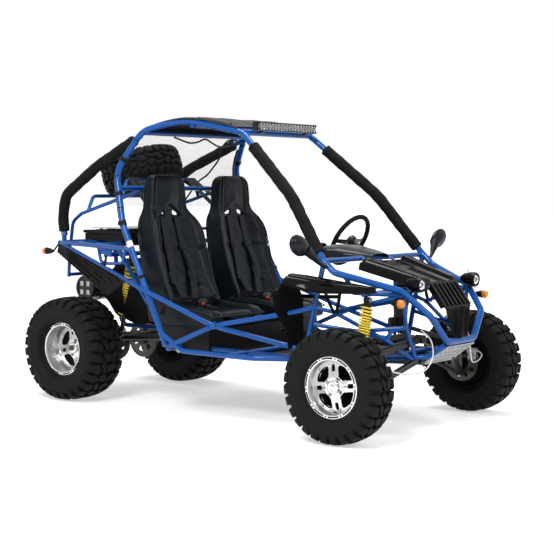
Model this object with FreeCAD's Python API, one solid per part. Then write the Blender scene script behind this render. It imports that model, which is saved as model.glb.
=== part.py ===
"""Two-seat dune buggy: bent-tube cage, bucket seats, wishbone front, live rear axle.

Millimetres. The row's origin is on the ground, in the middle of the length and width.
+X points forwards, +Y to the vehicle's left, +Z up. Lengthwise places are given from the
rear axle, and at() shifts them to the row's origin.
"""
import FreeCAD
import Part
import math
import os

os.makedirs("parts", exist_ok=True)

# Wheels and tyres
WHEELBASE = 1850.0
FRONT_TRACK = 1240.0
REAR_TRACK = 925.0
FRONT_TYRE_R = 266.7
FRONT_TYRE_W = 178.0
REAR_TYRE_R = 279.4
REAR_TYRE_W = 254.0
RIM_R = 127.0
SPARE_R = 228.6
SPARE_W = 178.0
SPARE_RIM_R = 101.6
LIP_H = 16.0
NAVE_H = 18.0

# Tubes
MAIN_R = 16.0
SIDE_R = 12.5
THIN_R = 10.0
PAD_R = 30.0

# Reach of the vehicle, from the rear axle
NOSE_BAR_X = 2132.0
FRONT_REACH = NOSE_BAR_X + MAIN_R
REAR_REACH = -REAR_TYRE_R
MIDDLE_X = (FRONT_REACH + REAR_REACH) / 2.0

# Steering
KINGPIN_Y = FRONT_TRACK / 2.0 - 123.0
KINGPIN_R = 17.0
STEER_HUB_X = 1300.0
STEER_HUB_Y = 277.0
STEER_HUB_Z = 890.0
STEER_SLOPE = 28.0
STEER_RIM_R = 140.0
STEER_GRIP_R = 12.0

# Seats
SEAT_Y = 277.0
SEAT_W = 420.0

UP = FreeCAD.Vector(0, 0, 1)
ALONG = FreeCAD.Vector(1, 0, 0)
ACROSS = FreeCAD.Vector(0, 1, 0)
HOME = FreeCAD.Vector(0, 0, 0)


def at(x, y, z):
    """A point given from the rear axle, the middle plane and the ground."""
    return FreeCAD.Vector(x - MIDDLE_X, y, z)


def bent_path(points, bends):
    """Straight runs joined by arcs: bends holds the radius at each inner corner."""
    edges = []
    last = points[0]
    for corner, after, radius in zip(points[1:-1], points[2:], bends):
        before = (last - corner).normalize()
        onward = (after - corner).normalize()
        opening = before.getAngle(onward)
        if radius <= 0 or opening > math.pi - 0.02:
            edges.append(Part.LineSegment(last, corner).toShape())
            last = corner
            continue
        cut = radius / math.tan(opening / 2)
        middle = (before + onward).normalize()
        depth = radius / math.sin(opening / 2) - radius
        start = corner + before * cut
        end = corner + onward * cut
        if (start - last).Length > 0.5:
            edges.append(Part.LineSegment(last, start).toShape())
        edges.append(Part.Arc(start, corner + middle * depth, end).toShape())
        last = end
    edges.append(Part.LineSegment(last, points[-1]).toShape())
    return Part.Wire(edges)


def tube(points, radius, bends=None):
    """A round bar along a bent path."""
    if len(points) == 2:
        way = points[1] - points[0]
        return Part.makeCylinder(radius, way.Length, points[0], way)
    path = bent_path(points, bends or [radius * 3] * (len(points) - 2))
    start = path.Edges[0]
    way = start.tangentAt(start.FirstParameter)
    ring = Part.Wire([Part.makeCircle(radius, points[0], way)])
    return path.makePipeShell([ring], True, True)


def mirrored(shape):
    """The same shape on the other side of the middle plane."""
    return shape.mirror(HOME, ACROSS)


def both(shape):
    """A shape on the left and its mirror image on the right."""
    return shape.fuse(mirrored(shape))


def fused(shapes):
    """Several welded pieces as one."""
    whole = shapes[0]
    for shape in shapes[1:]:
        whole = whole.fuse(shape)
    return whole


def without(shape, others):
    """A piece coped so that it only touches the others."""
    for other in others:
        shape = shape.cut(other)
    return shape


def box(x0, x1, y0, y1, z0, z1):
    """An upright block between two corners, lengthwise from the rear axle."""
    return Part.makeBox(x1 - x0, y1 - y0, z1 - z0, at(x0, y0, z0))


def flattened(points):
    """Points laid onto their mean plane."""
    centre = HOME
    normal = HOME
    for point, after in zip(points, points[1:] + points[:1]):
        centre = centre + point * (1.0 / len(points))
        normal = normal + point.cross(after)
    normal.normalize()
    return [p - normal * (p - centre).dot(normal) for p in points]


def plate(points, thickness, way):
    """A flat sheet with the given outline, thick towards way."""
    points = flattened(points)
    outline = Part.makePolygon(points + [points[0]])
    return Part.Face(outline).extrude(FreeCAD.Vector(way).normalize() * thickness)


def side_slab(outline, y0, y1):
    """An outline in the lengthwise plane, given as x and z, made solid from y0 to y1."""
    points = [at(x, y0, z) for x, z in outline]
    wire = Part.makePolygon(points + [points[0]])
    return Part.Face(wire).extrude(FreeCAD.Vector(0, y1 - y0, 0))


def turned(profile, centre, axis_along_y=1):
    """A ring profile of distance along the axle and radius, turned about the axle."""
    points = [FreeCAD.Vector(centre.x, centre.y + axis_along_y * a, centre.z + r) for a, r in profile]
    face = Part.Face(Part.makePolygon(points + [points[0]]))
    return face.revolve(centre, ACROSS, 360)


nodes = {}


# Cage: one long bent tube on each side, from the sill over the roof to the pillar's foot
PILLAR_FOOT = at(1640, 453, 828)
HOOP_FOOT = at(770, 580, 364)
HOOP = [HOOP_FOOT, at(440, 548, 965), at(345, 497, 1240), at(468, 430, 1452), at(700, 362, 1506),
        at(1022, 293, 1440), at(1400, 385, 1126), PILLAR_FOOT]
HOOP_BENDS = [500, 150, 130, 420, 120, 500]
left_hoop = tube(HOOP, MAIN_R, HOOP_BENDS)

NOSE = [PILLAR_FOOT, at(1704, 455, 772), at(1990, 313, 692), at(2109, 242, 575), at(NOSE_BAR_X, 126, 448)]
NOSE_BENDS = [60, 90, 60, 40]
nose_points = NOSE + [FreeCAD.Vector(p.x, -p.y, p.z) for p in reversed(NOSE)]
nose_loop = tube(nose_points, MAIN_R, NOSE_BENDS + list(reversed(NOSE_BENDS)))
nose_loop = nose_loop.cut(both(left_hoop))

# Floor: outer sills, inner rails and cross tubes
SILL_Z = 348.0
SILL_Y = 598.0
LEG_FOOT = at(1548, 470, SILL_Z)
sill = tube([at(733, 578, 428), at(893, SILL_Y, SILL_Z), at(1330, SILL_Y, SILL_Z), at(1510, 478, SILL_Z),
             at(1700, 300, SILL_Z), at(2040, 150, 372), at(2124, 132, 432)],
            SIDE_R, [60, 150, 150, 200, 80])
floor_rail = tube([at(560, 330, 356), at(700, 440, SILL_Z), at(1440, 440, SILL_Z)], SIDE_R, [120])
floor_cross = [tube([at(x, -y, SILL_Z), at(x, y, SILL_Z)], SIDE_R)
               for x, y in ((775, 575), (1180, SILL_Y), (1500, 460), (1790, 240), (1990, 165))]
leg = tube([PILLAR_FOOT + FreeCAD.Vector(2, -2, -14), LEG_FOOT], SIDE_R)
floor_frame = fused([both(sill), both(floor_rail)] + floor_cross)
floor_frame = without(floor_frame, [left_hoop, mirrored(left_hoop), nose_loop])

# Nose frame: the upper loop with its legs, dash tube and front struts
dash_bar = tube([at(1630, -452, 822), at(1630, 452, 822)], SIDE_R)
shock_bar = tube([at(1830, 395, 672), at(1830, -395, 672)], SIDE_R)
TRUSS_REAR = at(1684, 423, 583)
TRUSS_FRONT = at(1999, 281, 518)
guard_rail = tube([at(1757, 427, 755), at(1757, 392, 678), at(1982, 298, 674)], SIDE_R, [30])
truss_top = tube([at(1602, 462, 600), TRUSS_REAR, at(1976, 291, 668)], THIN_R, [0])
truss_low = tube([TRUSS_REAR, at(1925, 315, 450), at(1985, 170, SILL_Z)], THIN_R, [60])
truss_mid = tube([at(1597, 462, 520), at(1790, 375, 495), TRUSS_FRONT], THIN_R, [100])
truss_hook = tube([at(1912, 320, 452), at(1938, 308, 506), TRUSS_FRONT], THIN_R, [40])
post = tube([at(1992, 300, 690), TRUSS_FRONT, at(1990, 168, 352)], THIN_R, [80])
truss = fused([guard_rail, truss_top, truss_low, truss_mid, truss_hook, post])
hood_leg = tube([at(1830, 120, 672), at(1830, 120, 769)], 6)
hood_heel = tube([at(1640, 120, 822), at(1672, 120, 812)], 6)
nose_frame = fused([nose_loop, both(leg), dash_bar, shock_bar, both(truss),
                    both(hood_leg), both(hood_heel)])
nose_frame = without(nose_frame, [left_hoop, mirrored(left_hoop), floor_frame])

# Roof tubes between the two cage tubes
roof_front = tube([at(1022, -297, 1440), at(1022, 297, 1440)], MAIN_R)
roof_rear = tube([at(463, -434, 1440), at(463, 434, 1440)], SIDE_R)
roof_mid = tube([at(740, -358, 1478), at(740, 358, 1478)], SIDE_R)
back_bar = tube([at(365, -510, 1150), at(365, 510, 1150)], SIDE_R)
roof_bars = fused([roof_front, roof_rear, roof_mid, back_bar])
roof_bars = without(roof_bars, [left_hoop, mirrored(left_hoop)])

# Side bars: two crossed tubes on each flank
CROSS = at(1083, 592, 486)
REAR_CORNER = at(-185, 390, 845)
long_bar = tube([REAR_CORNER, at(600, 577, 640), CROSS, at(1560, 470, 392)], SIDE_R, [600, 500])
short_bar = tube([at(800, 596, 362), CROSS, at(1470, 508, 566), at(1602, 462, 600)], SIDE_R, [600, 200])
side_bars = without(fused([long_bar, short_bar]), [left_hoop, floor_frame, nose_frame])

# Rear frame: upper rails, posts and the stays that come down from the roof
rear_loop = tube([at(505, 556, 838), REAR_CORNER, at(-185, -390, 845), at(505, -556, 838)], SIDE_R, [70, 70])
STAY = [at(452, 424, 1424), at(97, 387, 1262), at(-140, 386, 1105), at(-160, 386, 990), at(-150, 386, 850)]
STAY_BENDS = [300, 100, 100]
stay = tube(STAY, SIDE_R + 1, STAY_BENDS)
rear_post = tube([at(560, 330, 356), at(330, 470, 838)], SIDE_R)
shock_tower = tube([at(300, -500, 800), at(300, 500, 800)], SIDE_R)
tower_post = both(tube([at(300, 330, 800), at(548, 330, 372)], SIDE_R))
hanger = both(tube([at(-120, 374, 845), at(-140, 362, 655)], THIN_R))
ENGINE_FOOT_Z = 400.0
MUFFLER_X = -140.0
MUFFLER_Z = 585.0
MUFFLER_R = 72.0
DECK_Z = 845.0
HANGER_Z = MUFFLER_Z + MUFFLER_R + THIN_R
hanger_bar = tube([at(MUFFLER_X, -362, HANGER_Z), at(MUFFLER_X, 362, HANGER_Z)], THIN_R)
cradle_z = ENGINE_FOOT_Z - SIDE_R
cradle = both(tube([at(560, 150, 356), at(500, 150, cradle_z), at(62, 150, cradle_z), at(4, 150, DECK_Z)],
                   SIDE_R, [60, 50]))
deck_bars = [tube([at(x, -y, DECK_Z), at(x, y, DECK_Z)], SIDE_R) for x, y in ((0, 430), (180, 478))]
rear_sill = tube([at(560, -330, 356), at(560, 330, 356)], SIDE_R)
rear_frame = fused([rear_loop, both(stay), both(rear_post), shock_tower, tower_post,
                    hanger, hanger_bar, cradle, rear_sill] + deck_bars)
side_bars = side_bars.cut(rear_frame)
rear_frame = without(rear_frame, [left_hoop, mirrored(left_hoop), floor_frame, roof_bars])

# Carrier of the spare wheel, which lies on two raised cross tubes and slopes down to the rear
SPARE_LEAN = 20.0
SPARE_PLACE = at(73, 0, 1246)
SPARE_RUN = 0.05
SPARE_FACE = 20.0
SPARE_STUD_R = 8.0
SPARE_NUT_R = 22.0
SPARE_NUT_T = 10.0
CROSS_REACHES = (-150.0, 120.0)
RACK_LOW = at(-85, 0, 1004)
RACK_HIGH = at(362, 0, 1140)
lean = math.radians(SPARE_LEAN)
spare_up = FreeCAD.Vector(-math.sin(lean), 0, math.cos(lean))
spare_fore = FreeCAD.Vector(math.cos(lean), 0, math.sin(lean))
RACK_Y = 320.0
rack_side = tube([at(-165, RACK_Y, 858), at(-150, RACK_Y, 960), RACK_LOW + ACROSS * RACK_Y,
                  RACK_HIGH + ACROSS * RACK_Y], THIN_R, [60, 60])
rack_slope = (RACK_HIGH.z - RACK_LOW.z) / (RACK_HIGH.x - RACK_LOW.x)
rack_parts = [both(rack_side)]
seat_points = []
for reach in CROSS_REACHES:
    seat = SPARE_PLACE - spare_up * (SPARE_W / 2 + SPARE_RUN + THIN_R) + spare_fore * reach
    side_z = RACK_LOW.z + rack_slope * (seat.x - RACK_LOW.x)
    feet = [FreeCAD.Vector(seat.x, y, side_z) for y in (-RACK_Y, RACK_Y)]
    tops = [FreeCAD.Vector(seat.x, y, seat.z) for y in (-RACK_Y + 40, RACK_Y - 40)]
    rack_parts.append(tube([feet[0], tops[0], tops[1], feet[1]], THIN_R, [30, 30]))
    seat_points.append(seat)
rack_parts.append(tube(seat_points, THIN_R))
stud_foot = SPARE_PLACE - spare_up * (SPARE_W / 2 + SPARE_RUN + THIN_R)
rack_parts.append(tube([stud_foot, SPARE_PLACE + spare_up * (SPARE_FACE + 40)], SPARE_STUD_R))
nut_foot = SPARE_PLACE + spare_up * (SPARE_FACE + NAVE_H + SPARE_RUN)
rack_parts.append(Part.makeCylinder(SPARE_NUT_R, SPARE_NUT_T, nut_foot, spare_up))
spare_rack = without(fused(rack_parts), [rear_frame, roof_bars])

nodes["left_hoop"] = left_hoop
nodes["right_hoop"] = mirrored(left_hoop)
nodes["nose_frame"] = nose_frame
nodes["floor_frame"] = floor_frame
nodes["roof_bars"] = roof_bars
nodes["side_bars"] = both(side_bars)
nodes["rear_frame"] = fused([rear_frame, spare_rack])


# Foam pads, slit over the tubes
PILLAR_PAD = [at(1108, 314, 1368.5), at(1400, 385, 1126), at(1614, 447, 856)]
stay_low = at(-151, 386, 905)
pillar_pad = tube(PILLAR_PAD, PAD_R, [500])
pillar_pad = pillar_pad.cut(left_hoop)
stay_pad = tube([at(400, 418, 1400), STAY[1], STAY[2], STAY[3], stay_low], PAD_R, STAY_BENDS)
stay_pad = without(stay_pad, [left_hoop, rear_frame, roof_bars])
nodes["foam_pads"] = both(pillar_pad.fuse(stay_pad))


# Floor pan, roof panel and light bar
FLOOR_T = 2.0
FLOOR_TOP = SILL_Z - SIDE_R
floor_outline = [at(560, -340, FLOOR_TOP), at(700, -450, FLOOR_TOP), at(1400, -450, FLOOR_TOP),
                 at(1720, -290, FLOOR_TOP), at(1985, -165, FLOOR_TOP), at(1985, 165, FLOOR_TOP),
                 at(1720, 290, FLOOR_TOP), at(1400, 450, FLOOR_TOP), at(700, 450, FLOOR_TOP),
                 at(560, 340, FLOOR_TOP)]
floor_pan = plate(floor_outline, FLOOR_T, -UP)
SEAT_BOX_TOP = 450.0
seat_base = box(640, 960, -470, 470, FLOOR_TOP, SEAT_BOX_TOP)
floor_pan = floor_pan.fuse(seat_base)
nodes["floor_pan"] = without(floor_pan, [floor_frame, rear_frame, left_hoop, mirrored(left_hoop)])

ROOF_T = 4.0
ROOF_LINE = [(455, 1456), (560, 1492), (700, 1515), (860, 1503), (1000, 1466)]
roof_lower = [at(x, 0, z) for x, z in ROOF_LINE]
roof_curve = Part.BSplineCurve()
roof_curve.interpolate([FreeCAD.Vector(p.x, -450, p.z) for p in roof_lower])
roof_top = Part.BSplineCurve()
roof_top.interpolate([FreeCAD.Vector(p.x, -450, p.z + ROOF_T) for p in roof_lower])
ends = [(roof_curve.StartPoint, roof_top.StartPoint), (roof_curve.EndPoint, roof_top.EndPoint)]
roof_wire = Part.Wire([roof_curve.toShape(), Part.LineSegment(*ends[1]).toShape(),
                       roof_top.toShape(), Part.LineSegment(*ends[0]).toShape()])
roof_sheet = Part.Face(roof_wire).extrude(FreeCAD.Vector(0, 900, 0))
roof_plan = plate([at(440, -440, 1400), at(700, -385, 1400), at(1010, -310, 1400), at(1010, 310, 1400),
                   at(700, 385, 1400), at(440, 440, 1400)], 200, UP)
nodes["roof_panel"] = without(roof_sheet.common(roof_plan), [left_hoop, mirrored(left_hoop), roof_bars])

LIGHT_BAR_HALF = 254.0
light_bar = box(1046, 1092, -LIGHT_BAR_HALF, LIGHT_BAR_HALF, 1448, 1496)
light_feet = box(1030, 1075, -200, -180, 1440, 1450).fuse(box(1030, 1075, 180, 200, 1440, 1450))
nodes["light_bar"] = without(light_bar.fuse(light_feet), [roof_bars])


# Bucket seats
SEAT_RUN = 0.05
SEAT_FOOT = SEAT_BOX_TOP + SEAT_RUN
SEAT_BACK = [(560, SEAT_FOOT), (456, 1025), (447, 1200), (480, 1226), (512, 1200), (512, 1040), (560, 940),
             (700, 560), (760, 530), (985, 560), (1000, 520), (985, SEAT_FOOT)]
SEAT_HOLLOW = [(560, 1060), (492, 1060), (492, 1010), (540, 930), (660, 540), (730, 505), (1010, 522),
               (1010, 640), (800, 640)]
SEAT_FRONT = [(-0.5, 440), (0.5, 440), (0.5, 900), (0.44, 985), (0.35, 1040), (0.32, 1180), (0.26, 1240),
              (-0.26, 1240), (-0.32, 1180), (-0.35, 1040), (-0.44, 985), (-0.5, 900)]
SEAT_HOLLOW_W = 250.0
SLOT_Y = 46.0
seat = side_slab(SEAT_BACK, SEAT_Y - SEAT_W / 2, SEAT_Y + SEAT_W / 2)
seat_front = plate([at(300, SEAT_Y + w * SEAT_W, z) for w, z in SEAT_FRONT], 800, ALONG)
seat = seat.common(seat_front)
seat = seat.cut(side_slab(SEAT_HOLLOW, SEAT_Y - SEAT_HOLLOW_W / 2, SEAT_Y + SEAT_HOLLOW_W / 2))
for side in (-1, 1):
    y = SEAT_Y + side * SLOT_Y
    seat = seat.cut(box(300, 620, y - 16, y + 16, 1006, 1030))
nodes["left_seat"] = seat
nodes["right_seat"] = mirrored(seat)


# Bodywork: hood, nose panel, dash cowl and guards
HOOD_T = 4.0
HOOD_REAR_X = 1688.0
HOOD_REAR_Z = 806.0
HOOD_REAR_HALF = 225.0
BROW_X = 2026.0
BROW_Z = 716.0
BROW_HALF = 150.0
CHIN_X = 2112.0
CHIN_Z = 605.0
CHIN_HALF = 118.0
NOSE_FOOT_X = 2128.0
NOSE_FOOT_Z = 455.0
NOSE_FOOT_HALF = 64.0
hood_up = FreeCAD.Vector(HOOD_REAR_Z - BROW_Z, 0, BROW_X - HOOD_REAR_X).normalize()
face_out = FreeCAD.Vector(BROW_Z - CHIN_Z, 0, CHIN_X - BROW_X).normalize()


def trapezium(x0, half0, z0, x1, half1, z1, thickness, way):
    """A sheet as wide as half0 on each side at its first edge and half1 at its second."""
    outline = [at(x0, -half0, z0), at(x1, -half1, z1), at(x1, half1, z1), at(x0, half0, z0)]
    return plate(outline, thickness, way)


RIDGE_H = 26.0
RIDGE_INNER = 0.67
RIDGE_OUTER = 0.93
hood = trapezium(HOOD_REAR_X, HOOD_REAR_HALF, HOOD_REAR_Z, BROW_X, BROW_HALF, BROW_Z, HOOD_T, hood_up)
ridge = plate([at(HOOD_REAR_X, HOOD_REAR_HALF * RIDGE_INNER, HOOD_REAR_Z),
               at(HOOD_REAR_X, HOOD_REAR_HALF * RIDGE_OUTER, HOOD_REAR_Z),
               at(BROW_X, BROW_HALF * RIDGE_OUTER, BROW_Z), at(BROW_X, BROW_HALF * RIDGE_INNER, BROW_Z)],
              RIDGE_H, hood_up)
ridge = ridge.common(box(HOOD_REAR_X + 12, BROW_X - 6, 0, HOOD_REAR_HALF, BROW_Z - 20, HOOD_REAR_Z + 60))

LOUVRES = 6
LOUVRE_W = 12.0
LOUVRE_EDGE = 12.0
louvre_face = trapezium(BROW_X, BROW_HALF, BROW_Z, CHIN_X, CHIN_HALF, CHIN_Z, HOOD_T, face_out)
louvre_pitch = 2 * CHIN_HALF / LOUVRES
slits = []
for k in range(LOUVRES):
    y = (k - (LOUVRES - 1) / 2.0) * louvre_pitch
    slits.append(box(BROW_X + LOUVRE_EDGE, CHIN_X - LOUVRE_EDGE / 2, y - LOUVRE_W / 2, y + LOUVRE_W / 2,
                     CHIN_Z - 40, BROW_Z + 40))
louvre_face = louvre_face.cut(slits)
chin = trapezium(CHIN_X, CHIN_HALF, CHIN_Z, NOSE_FOOT_X, NOSE_FOOT_HALF, NOSE_FOOT_Z, HOOD_T, ALONG)
folds = [tube([at(BROW_X, -BROW_HALF, BROW_Z), at(BROW_X, BROW_HALF, BROW_Z)], HOOD_T),
         tube([at(CHIN_X, -CHIN_HALF, CHIN_Z), at(CHIN_X, CHIN_HALF, CHIN_Z)], HOOD_T)]
nodes["hood"] = without(fused([hood, both(ridge), louvre_face, chin] + folds), [nose_frame])

SKID_FRONT = at(2136, 0, 428)
SKID_REAR = at(2000, 0, 332)
SKID_HALF = 128.0
SKID_T = 3.0
SKID_HOLE = 16.0
SKID_ROWS = 3
SKID_COLUMNS = 6
skid_run = SKID_FRONT - SKID_REAR
skid_way = FreeCAD.Vector(skid_run).normalize()
skid_down = FreeCAD.Vector(skid_run.z, 0, -skid_run.x).normalize()
skid = plate([SKID_FRONT - ACROSS * SKID_HALF, SKID_FRONT + ACROSS * SKID_HALF,
              SKID_REAR + ACROSS * (SKID_HALF + 22), SKID_REAR - ACROSS * (SKID_HALF + 22)],
             SKID_T, skid_down)
skid_holes = []
for row in range(SKID_ROWS):
    for column in range(SKID_COLUMNS):
        side = (column - (SKID_COLUMNS - 1) / 2.0) * 2 * SKID_HALF / (SKID_COLUMNS + 0.5)
        spot = SKID_REAR + skid_run * ((row + 1.0) / (SKID_ROWS + 1)) + ACROSS * side
        corners = [spot + skid_way * (SKID_HOLE * 0.7 * a) + ACROSS * (SKID_HOLE * 0.7 * b)
                   for a, b in ((-1, 0), (0, 1), (1, 0), (0, -1))]
        skid_holes.append(plate([c - skid_down * SKID_T for c in corners], 3 * SKID_T, skid_down))
skid = skid.cut(skid_holes)
nodes["skid_plate"] = without(skid, [nose_frame, floor_frame, floor_pan])

cowl = side_slab([(1340, 845), (1400, 882), (1480, 890), (1600, 860), (1650, 836), (1650, 826), (1540, 836),
                  (1380, 838)], -150, 150)
nodes["dash_cowl"] = without(cowl, [nose_frame, hood])

GUARD_T = 3.0
GUARD_CORNER = at(1480, 482, 758)
GUARD_IN = FreeCAD.Vector(0, -0.78, -0.62)
GUARD_SIDE = at(1478, 555, 721)
guard_blade = plate([GUARD_CORNER - ALONG * GUARD_T, at(1634, 466, 744), at(1816, 440, 722),
                     at(1943, 440, 708), at(1945, 462, 698), at(1820, 486, 690), at(1680, 512, 684),
                     at(1600, 530, 690), GUARD_SIDE - ALONG * GUARD_T],
                    GUARD_T, GUARD_IN)
guard_panel = plate([GUARD_CORNER, GUARD_SIDE, at(1476, 631, 650), at(1478, 612, 584), at(1490, 544, 491),
                     at(1502, 536, 403), at(1505, 449, 391), at(1500, 412, 450), at(1490, 405, 642)],
                    GUARD_T, -ALONG)
guard = without(fused([guard_blade, guard_panel]), [nose_frame, floor_frame, side_bars, left_hoop])
nodes["front_guards"] = both(guard)

FENDER_T = 3.0
fender = plate([at(-180, 396, 838), at(470, 552, 668), at(380, 600, 590), at(-150, 440, 790)], FENDER_T,
               FreeCAD.Vector(0, 0.5, -0.85))
fender = without(fender, [side_bars, left_hoop, rear_frame])
nodes["rear_fenders"] = both(fender)


# Lamps and mirrors
def lamp(centre, radius, length, way):
    """A lamp housing whose front face is at centre and whose body runs back."""
    back = FreeCAD.Vector(way).normalize() * -length
    return Part.makeCone(radius * 0.55, radius, length, centre + back, -back)


HEAD_R = 36.0
HEAD_LENGTH = 78.0
HEAD_WALL = 4.0
BOWL_DEPTH = 30.0
head_face = at(2062, 259, 722)
head = lamp(head_face, HEAD_R, HEAD_LENGTH, ALONG)
bowl = Part.makeCone(HEAD_R * 0.4, HEAD_R - HEAD_WALL, BOWL_DEPTH, head_face - ALONG * BOWL_DEPTH, ALONG)
lens = Part.makeCylinder(HEAD_R - HEAD_WALL, 2.0, head_face - ALONG * 2.0, ALONG)
head = fused([head.cut(bowl), lens])
head_foot = tube([at(2020, 259, 700), at(2020, 285, 672)], 7)
headlight = without(head.fuse(head_foot), [nose_frame, hood])
nodes["headlights"] = both(headlight)

SIGNAL_R = 19.0
SIGNAL_LENGTH = 46.0
SIGNAL_ROD_R = 5.0
front_signal = lamp(at(2032, 399, 640), SIGNAL_R, SIGNAL_LENGTH, ALONG)
front_signal = front_signal.fuse(tube([at(1998, 399, 640), at(2006, 300, 668)], SIGNAL_ROD_R))
front_signal = front_signal.cut(nose_frame)
rear_signal = lamp(at(-272, 415, 795), SIGNAL_R, SIGNAL_LENGTH, -ALONG)
rear_signal = rear_signal.fuse(tube([at(-232, 415, 795), at(-182, 396, 838)], SIGNAL_ROD_R))
rear_signal = without(rear_signal, [rear_frame, side_bars, fender])
nodes["turn_signals"] = both(front_signal.fuse(rear_signal))

MIRROR_CENTRE = at(1628, 628, 898)
MIRROR_NECK = at(1658, 520, 822)
mirror_head = Part.makeSphere(1).transformGeometry(FreeCAD.Matrix(20, 0, 0, 0, 0, 64, 0, 0, 0, 0, 46, 0))
mirror_head.translate(MIRROR_CENTRE)
neck_start = at(1634, 600, 884)
neck_way = MIRROR_NECK - neck_start
mirror_neck = Part.makeCone(19, 8, neck_way.Length, neck_start, neck_way)
mirror_arm = tube([MIRROR_NECK, at(1664, 498, 802), at(1668, 468, 800)], 6, [10])
mirror = fused([mirror_head, mirror_neck, mirror_arm])
mirror = without(mirror, [left_hoop, nose_frame, pillar_pad, guard])
nodes["mirrors"] = both(mirror)


# Front suspension and steering
AXLE_X = WHEELBASE
AXLE_Z = FRONT_TYRE_R
BALL_LOW_Z = 212.0
BALL_TOP_Z = 372.0
BALL_GAP = 1.0
BALL_H = 18.0
ARM_R = 11.0
ARM_LOW_Z = 352.0
ARM_TOP_Z = 455.0
ARM_PIVOTS = ((1720.0, 240.0), (1998.0, 150.0))


def wishbone(inner_z, outer_z):
    """Two legs from the frame's pivots to one outer joint."""
    outer = at(AXLE_X, KINGPIN_Y - KINGPIN_R, outer_z)
    legs = [tube([at(x, y, inner_z), outer], ARM_R) for x, y in ARM_PIVOTS]
    joint = Part.makeCylinder(KINGPIN_R, BALL_H, at(AXLE_X, KINGPIN_Y, outer_z - BALL_H / 2))
    return fused(legs + [joint])


post_foot_z = BALL_LOW_Z + BALL_H / 2
post_h = BALL_TOP_Z - BALL_LOW_Z - BALL_H
knuckle_post = Part.makeCylinder(KINGPIN_R, post_h - 2 * BALL_GAP,
                                 at(AXLE_X, KINGPIN_Y, post_foot_z + BALL_GAP))
arms = fused([wishbone(ARM_LOW_Z, BALL_LOW_Z), wishbone(ARM_TOP_Z, BALL_TOP_Z)])
post_room = Part.makeCylinder(KINGPIN_R + BALL_GAP, post_h, at(AXLE_X, KINGPIN_Y, post_foot_z))
arms = without(arms, [post_room, nose_frame, floor_frame, floor_pan])
STUB_R = 12.0
FRONT_Y = FRONT_TRACK / 2.0
stub = Part.makeCylinder(STUB_R, FRONT_Y + 30 - KINGPIN_Y, at(AXLE_X, KINGPIN_Y, AXLE_Z), ACROSS)
STEER_ARM = 95.0
STEER_ARM_Z = 330.0
steer_arm = tube([at(AXLE_X, KINGPIN_Y, STEER_ARM_Z), at(AXLE_X - STEER_ARM, KINGPIN_Y, STEER_ARM_Z)], 8)
caliper = box(AXLE_X + 45, AXLE_X + 95, KINGPIN_Y + 6, KINGPIN_Y + 34, AXLE_Z + 20, AXLE_Z + 75)
caliper_arm = tube([at(AXLE_X, KINGPIN_Y, 300), at(AXLE_X + 70, KINGPIN_Y + 8, 310)], 10)
disc_slot = Part.makeCylinder(104, 12, at(AXLE_X, KINGPIN_Y + 14, AXLE_Z), ACROSS)
caliper = caliper.cut(disc_slot)
knuckle = fused([knuckle_post, stub, steer_arm, caliper, caliper_arm])
nodes["front_arms"] = both(arms)
nodes["left_knuckle"] = knuckle
nodes["right_knuckle"] = mirrored(knuckle)

EYE_GAP = 5.5
EYE_H = 12.0
RACK_X = 1742.0
RACK_Z = 420.0
RACK_BAR_R = 9.0
RACK_RUN = 0.05
tie_end = at(AXLE_X - STEER_ARM, KINGPIN_Y, STEER_ARM_Z - 8 - EYE_GAP - EYE_H / 2)
tie_rod = tube([tie_end, at(RACK_X, 205, RACK_Z)], 6)
tie_eye = Part.makeCylinder(11, EYE_H, tie_end - UP * (EYE_H / 2))
rack_bar = tube([at(RACK_X, -210, RACK_Z), at(RACK_X, 210, RACK_Z)], RACK_BAR_R)
nodes["tie_rods"] = fused([rack_bar, both(tie_rod), both(tie_eye)])
rack_shell = tube([at(RACK_X, -150, RACK_Z), at(RACK_X, 150, RACK_Z)], 22)
BRIDGE_X = RACK_X + 23.0
rack_feet = both(box(RACK_X - 14, BRIDGE_X + 8, 95, 125, SILL_Z, RACK_Z - 10))
rack_bore = tube([at(RACK_X, -400, RACK_Z), at(RACK_X, 400, RACK_Z)], RACK_BAR_R + RACK_RUN)
rack_bridge = tube([at(BRIDGE_X, -265, SILL_Z), at(BRIDGE_X, 265, SILL_Z)], SIDE_R)

slope = math.radians(STEER_SLOPE)
down = FreeCAD.Vector(math.cos(slope), 0, -math.sin(slope))
hub = at(STEER_HUB_X, STEER_HUB_Y, STEER_HUB_Z)
rim_ring = Part.makeTorus(STEER_RIM_R, STEER_GRIP_R, hub, down)
level = FreeCAD.Vector(math.sin(slope), 0, math.cos(slope))
spokes = []
for way in (ACROSS, -ACROSS, -level):
    spokes.append(tube([hub + down * 14, hub + way * STEER_RIM_R], 7))
boss = Part.makeCylinder(30, 34, hub - down * 4, down)
COLUMN_R = 11.0
COLUMN_LENGTH = 395.0
COLUMN_RUN = 0.05
COLLAR_R = 20.0
COLLAR_H = 40.0
COLLAR_AT = 330.0
column = Part.makeCylinder(COLUMN_R, COLUMN_LENGTH, hub + down * 10, down)
nodes["steering_wheel"] = fused([rim_ring, boss, column] + spokes)
collar_bore = Part.makeCylinder(COLUMN_R + COLUMN_RUN, COLLAR_H + 20, hub + down * (COLLAR_AT - 10), down)
collar = Part.makeCylinder(COLLAR_R, COLLAR_H, hub + down * COLLAR_AT, down).cut(collar_bore)
collar_leg = tube([hub + down * (COLLAR_AT + COLLAR_H / 2) + level * 15, at(1630, STEER_HUB_Y, 815)], 9)
shaft_top = hub + down * (COLUMN_LENGTH + 17)
lower_shaft = tube([shaft_top, at(RACK_X, 128, RACK_Z + 10)], 8)
steering_gear = fused([rack_shell, rack_feet, rack_bridge, collar, collar_leg, lower_shaft])
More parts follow.
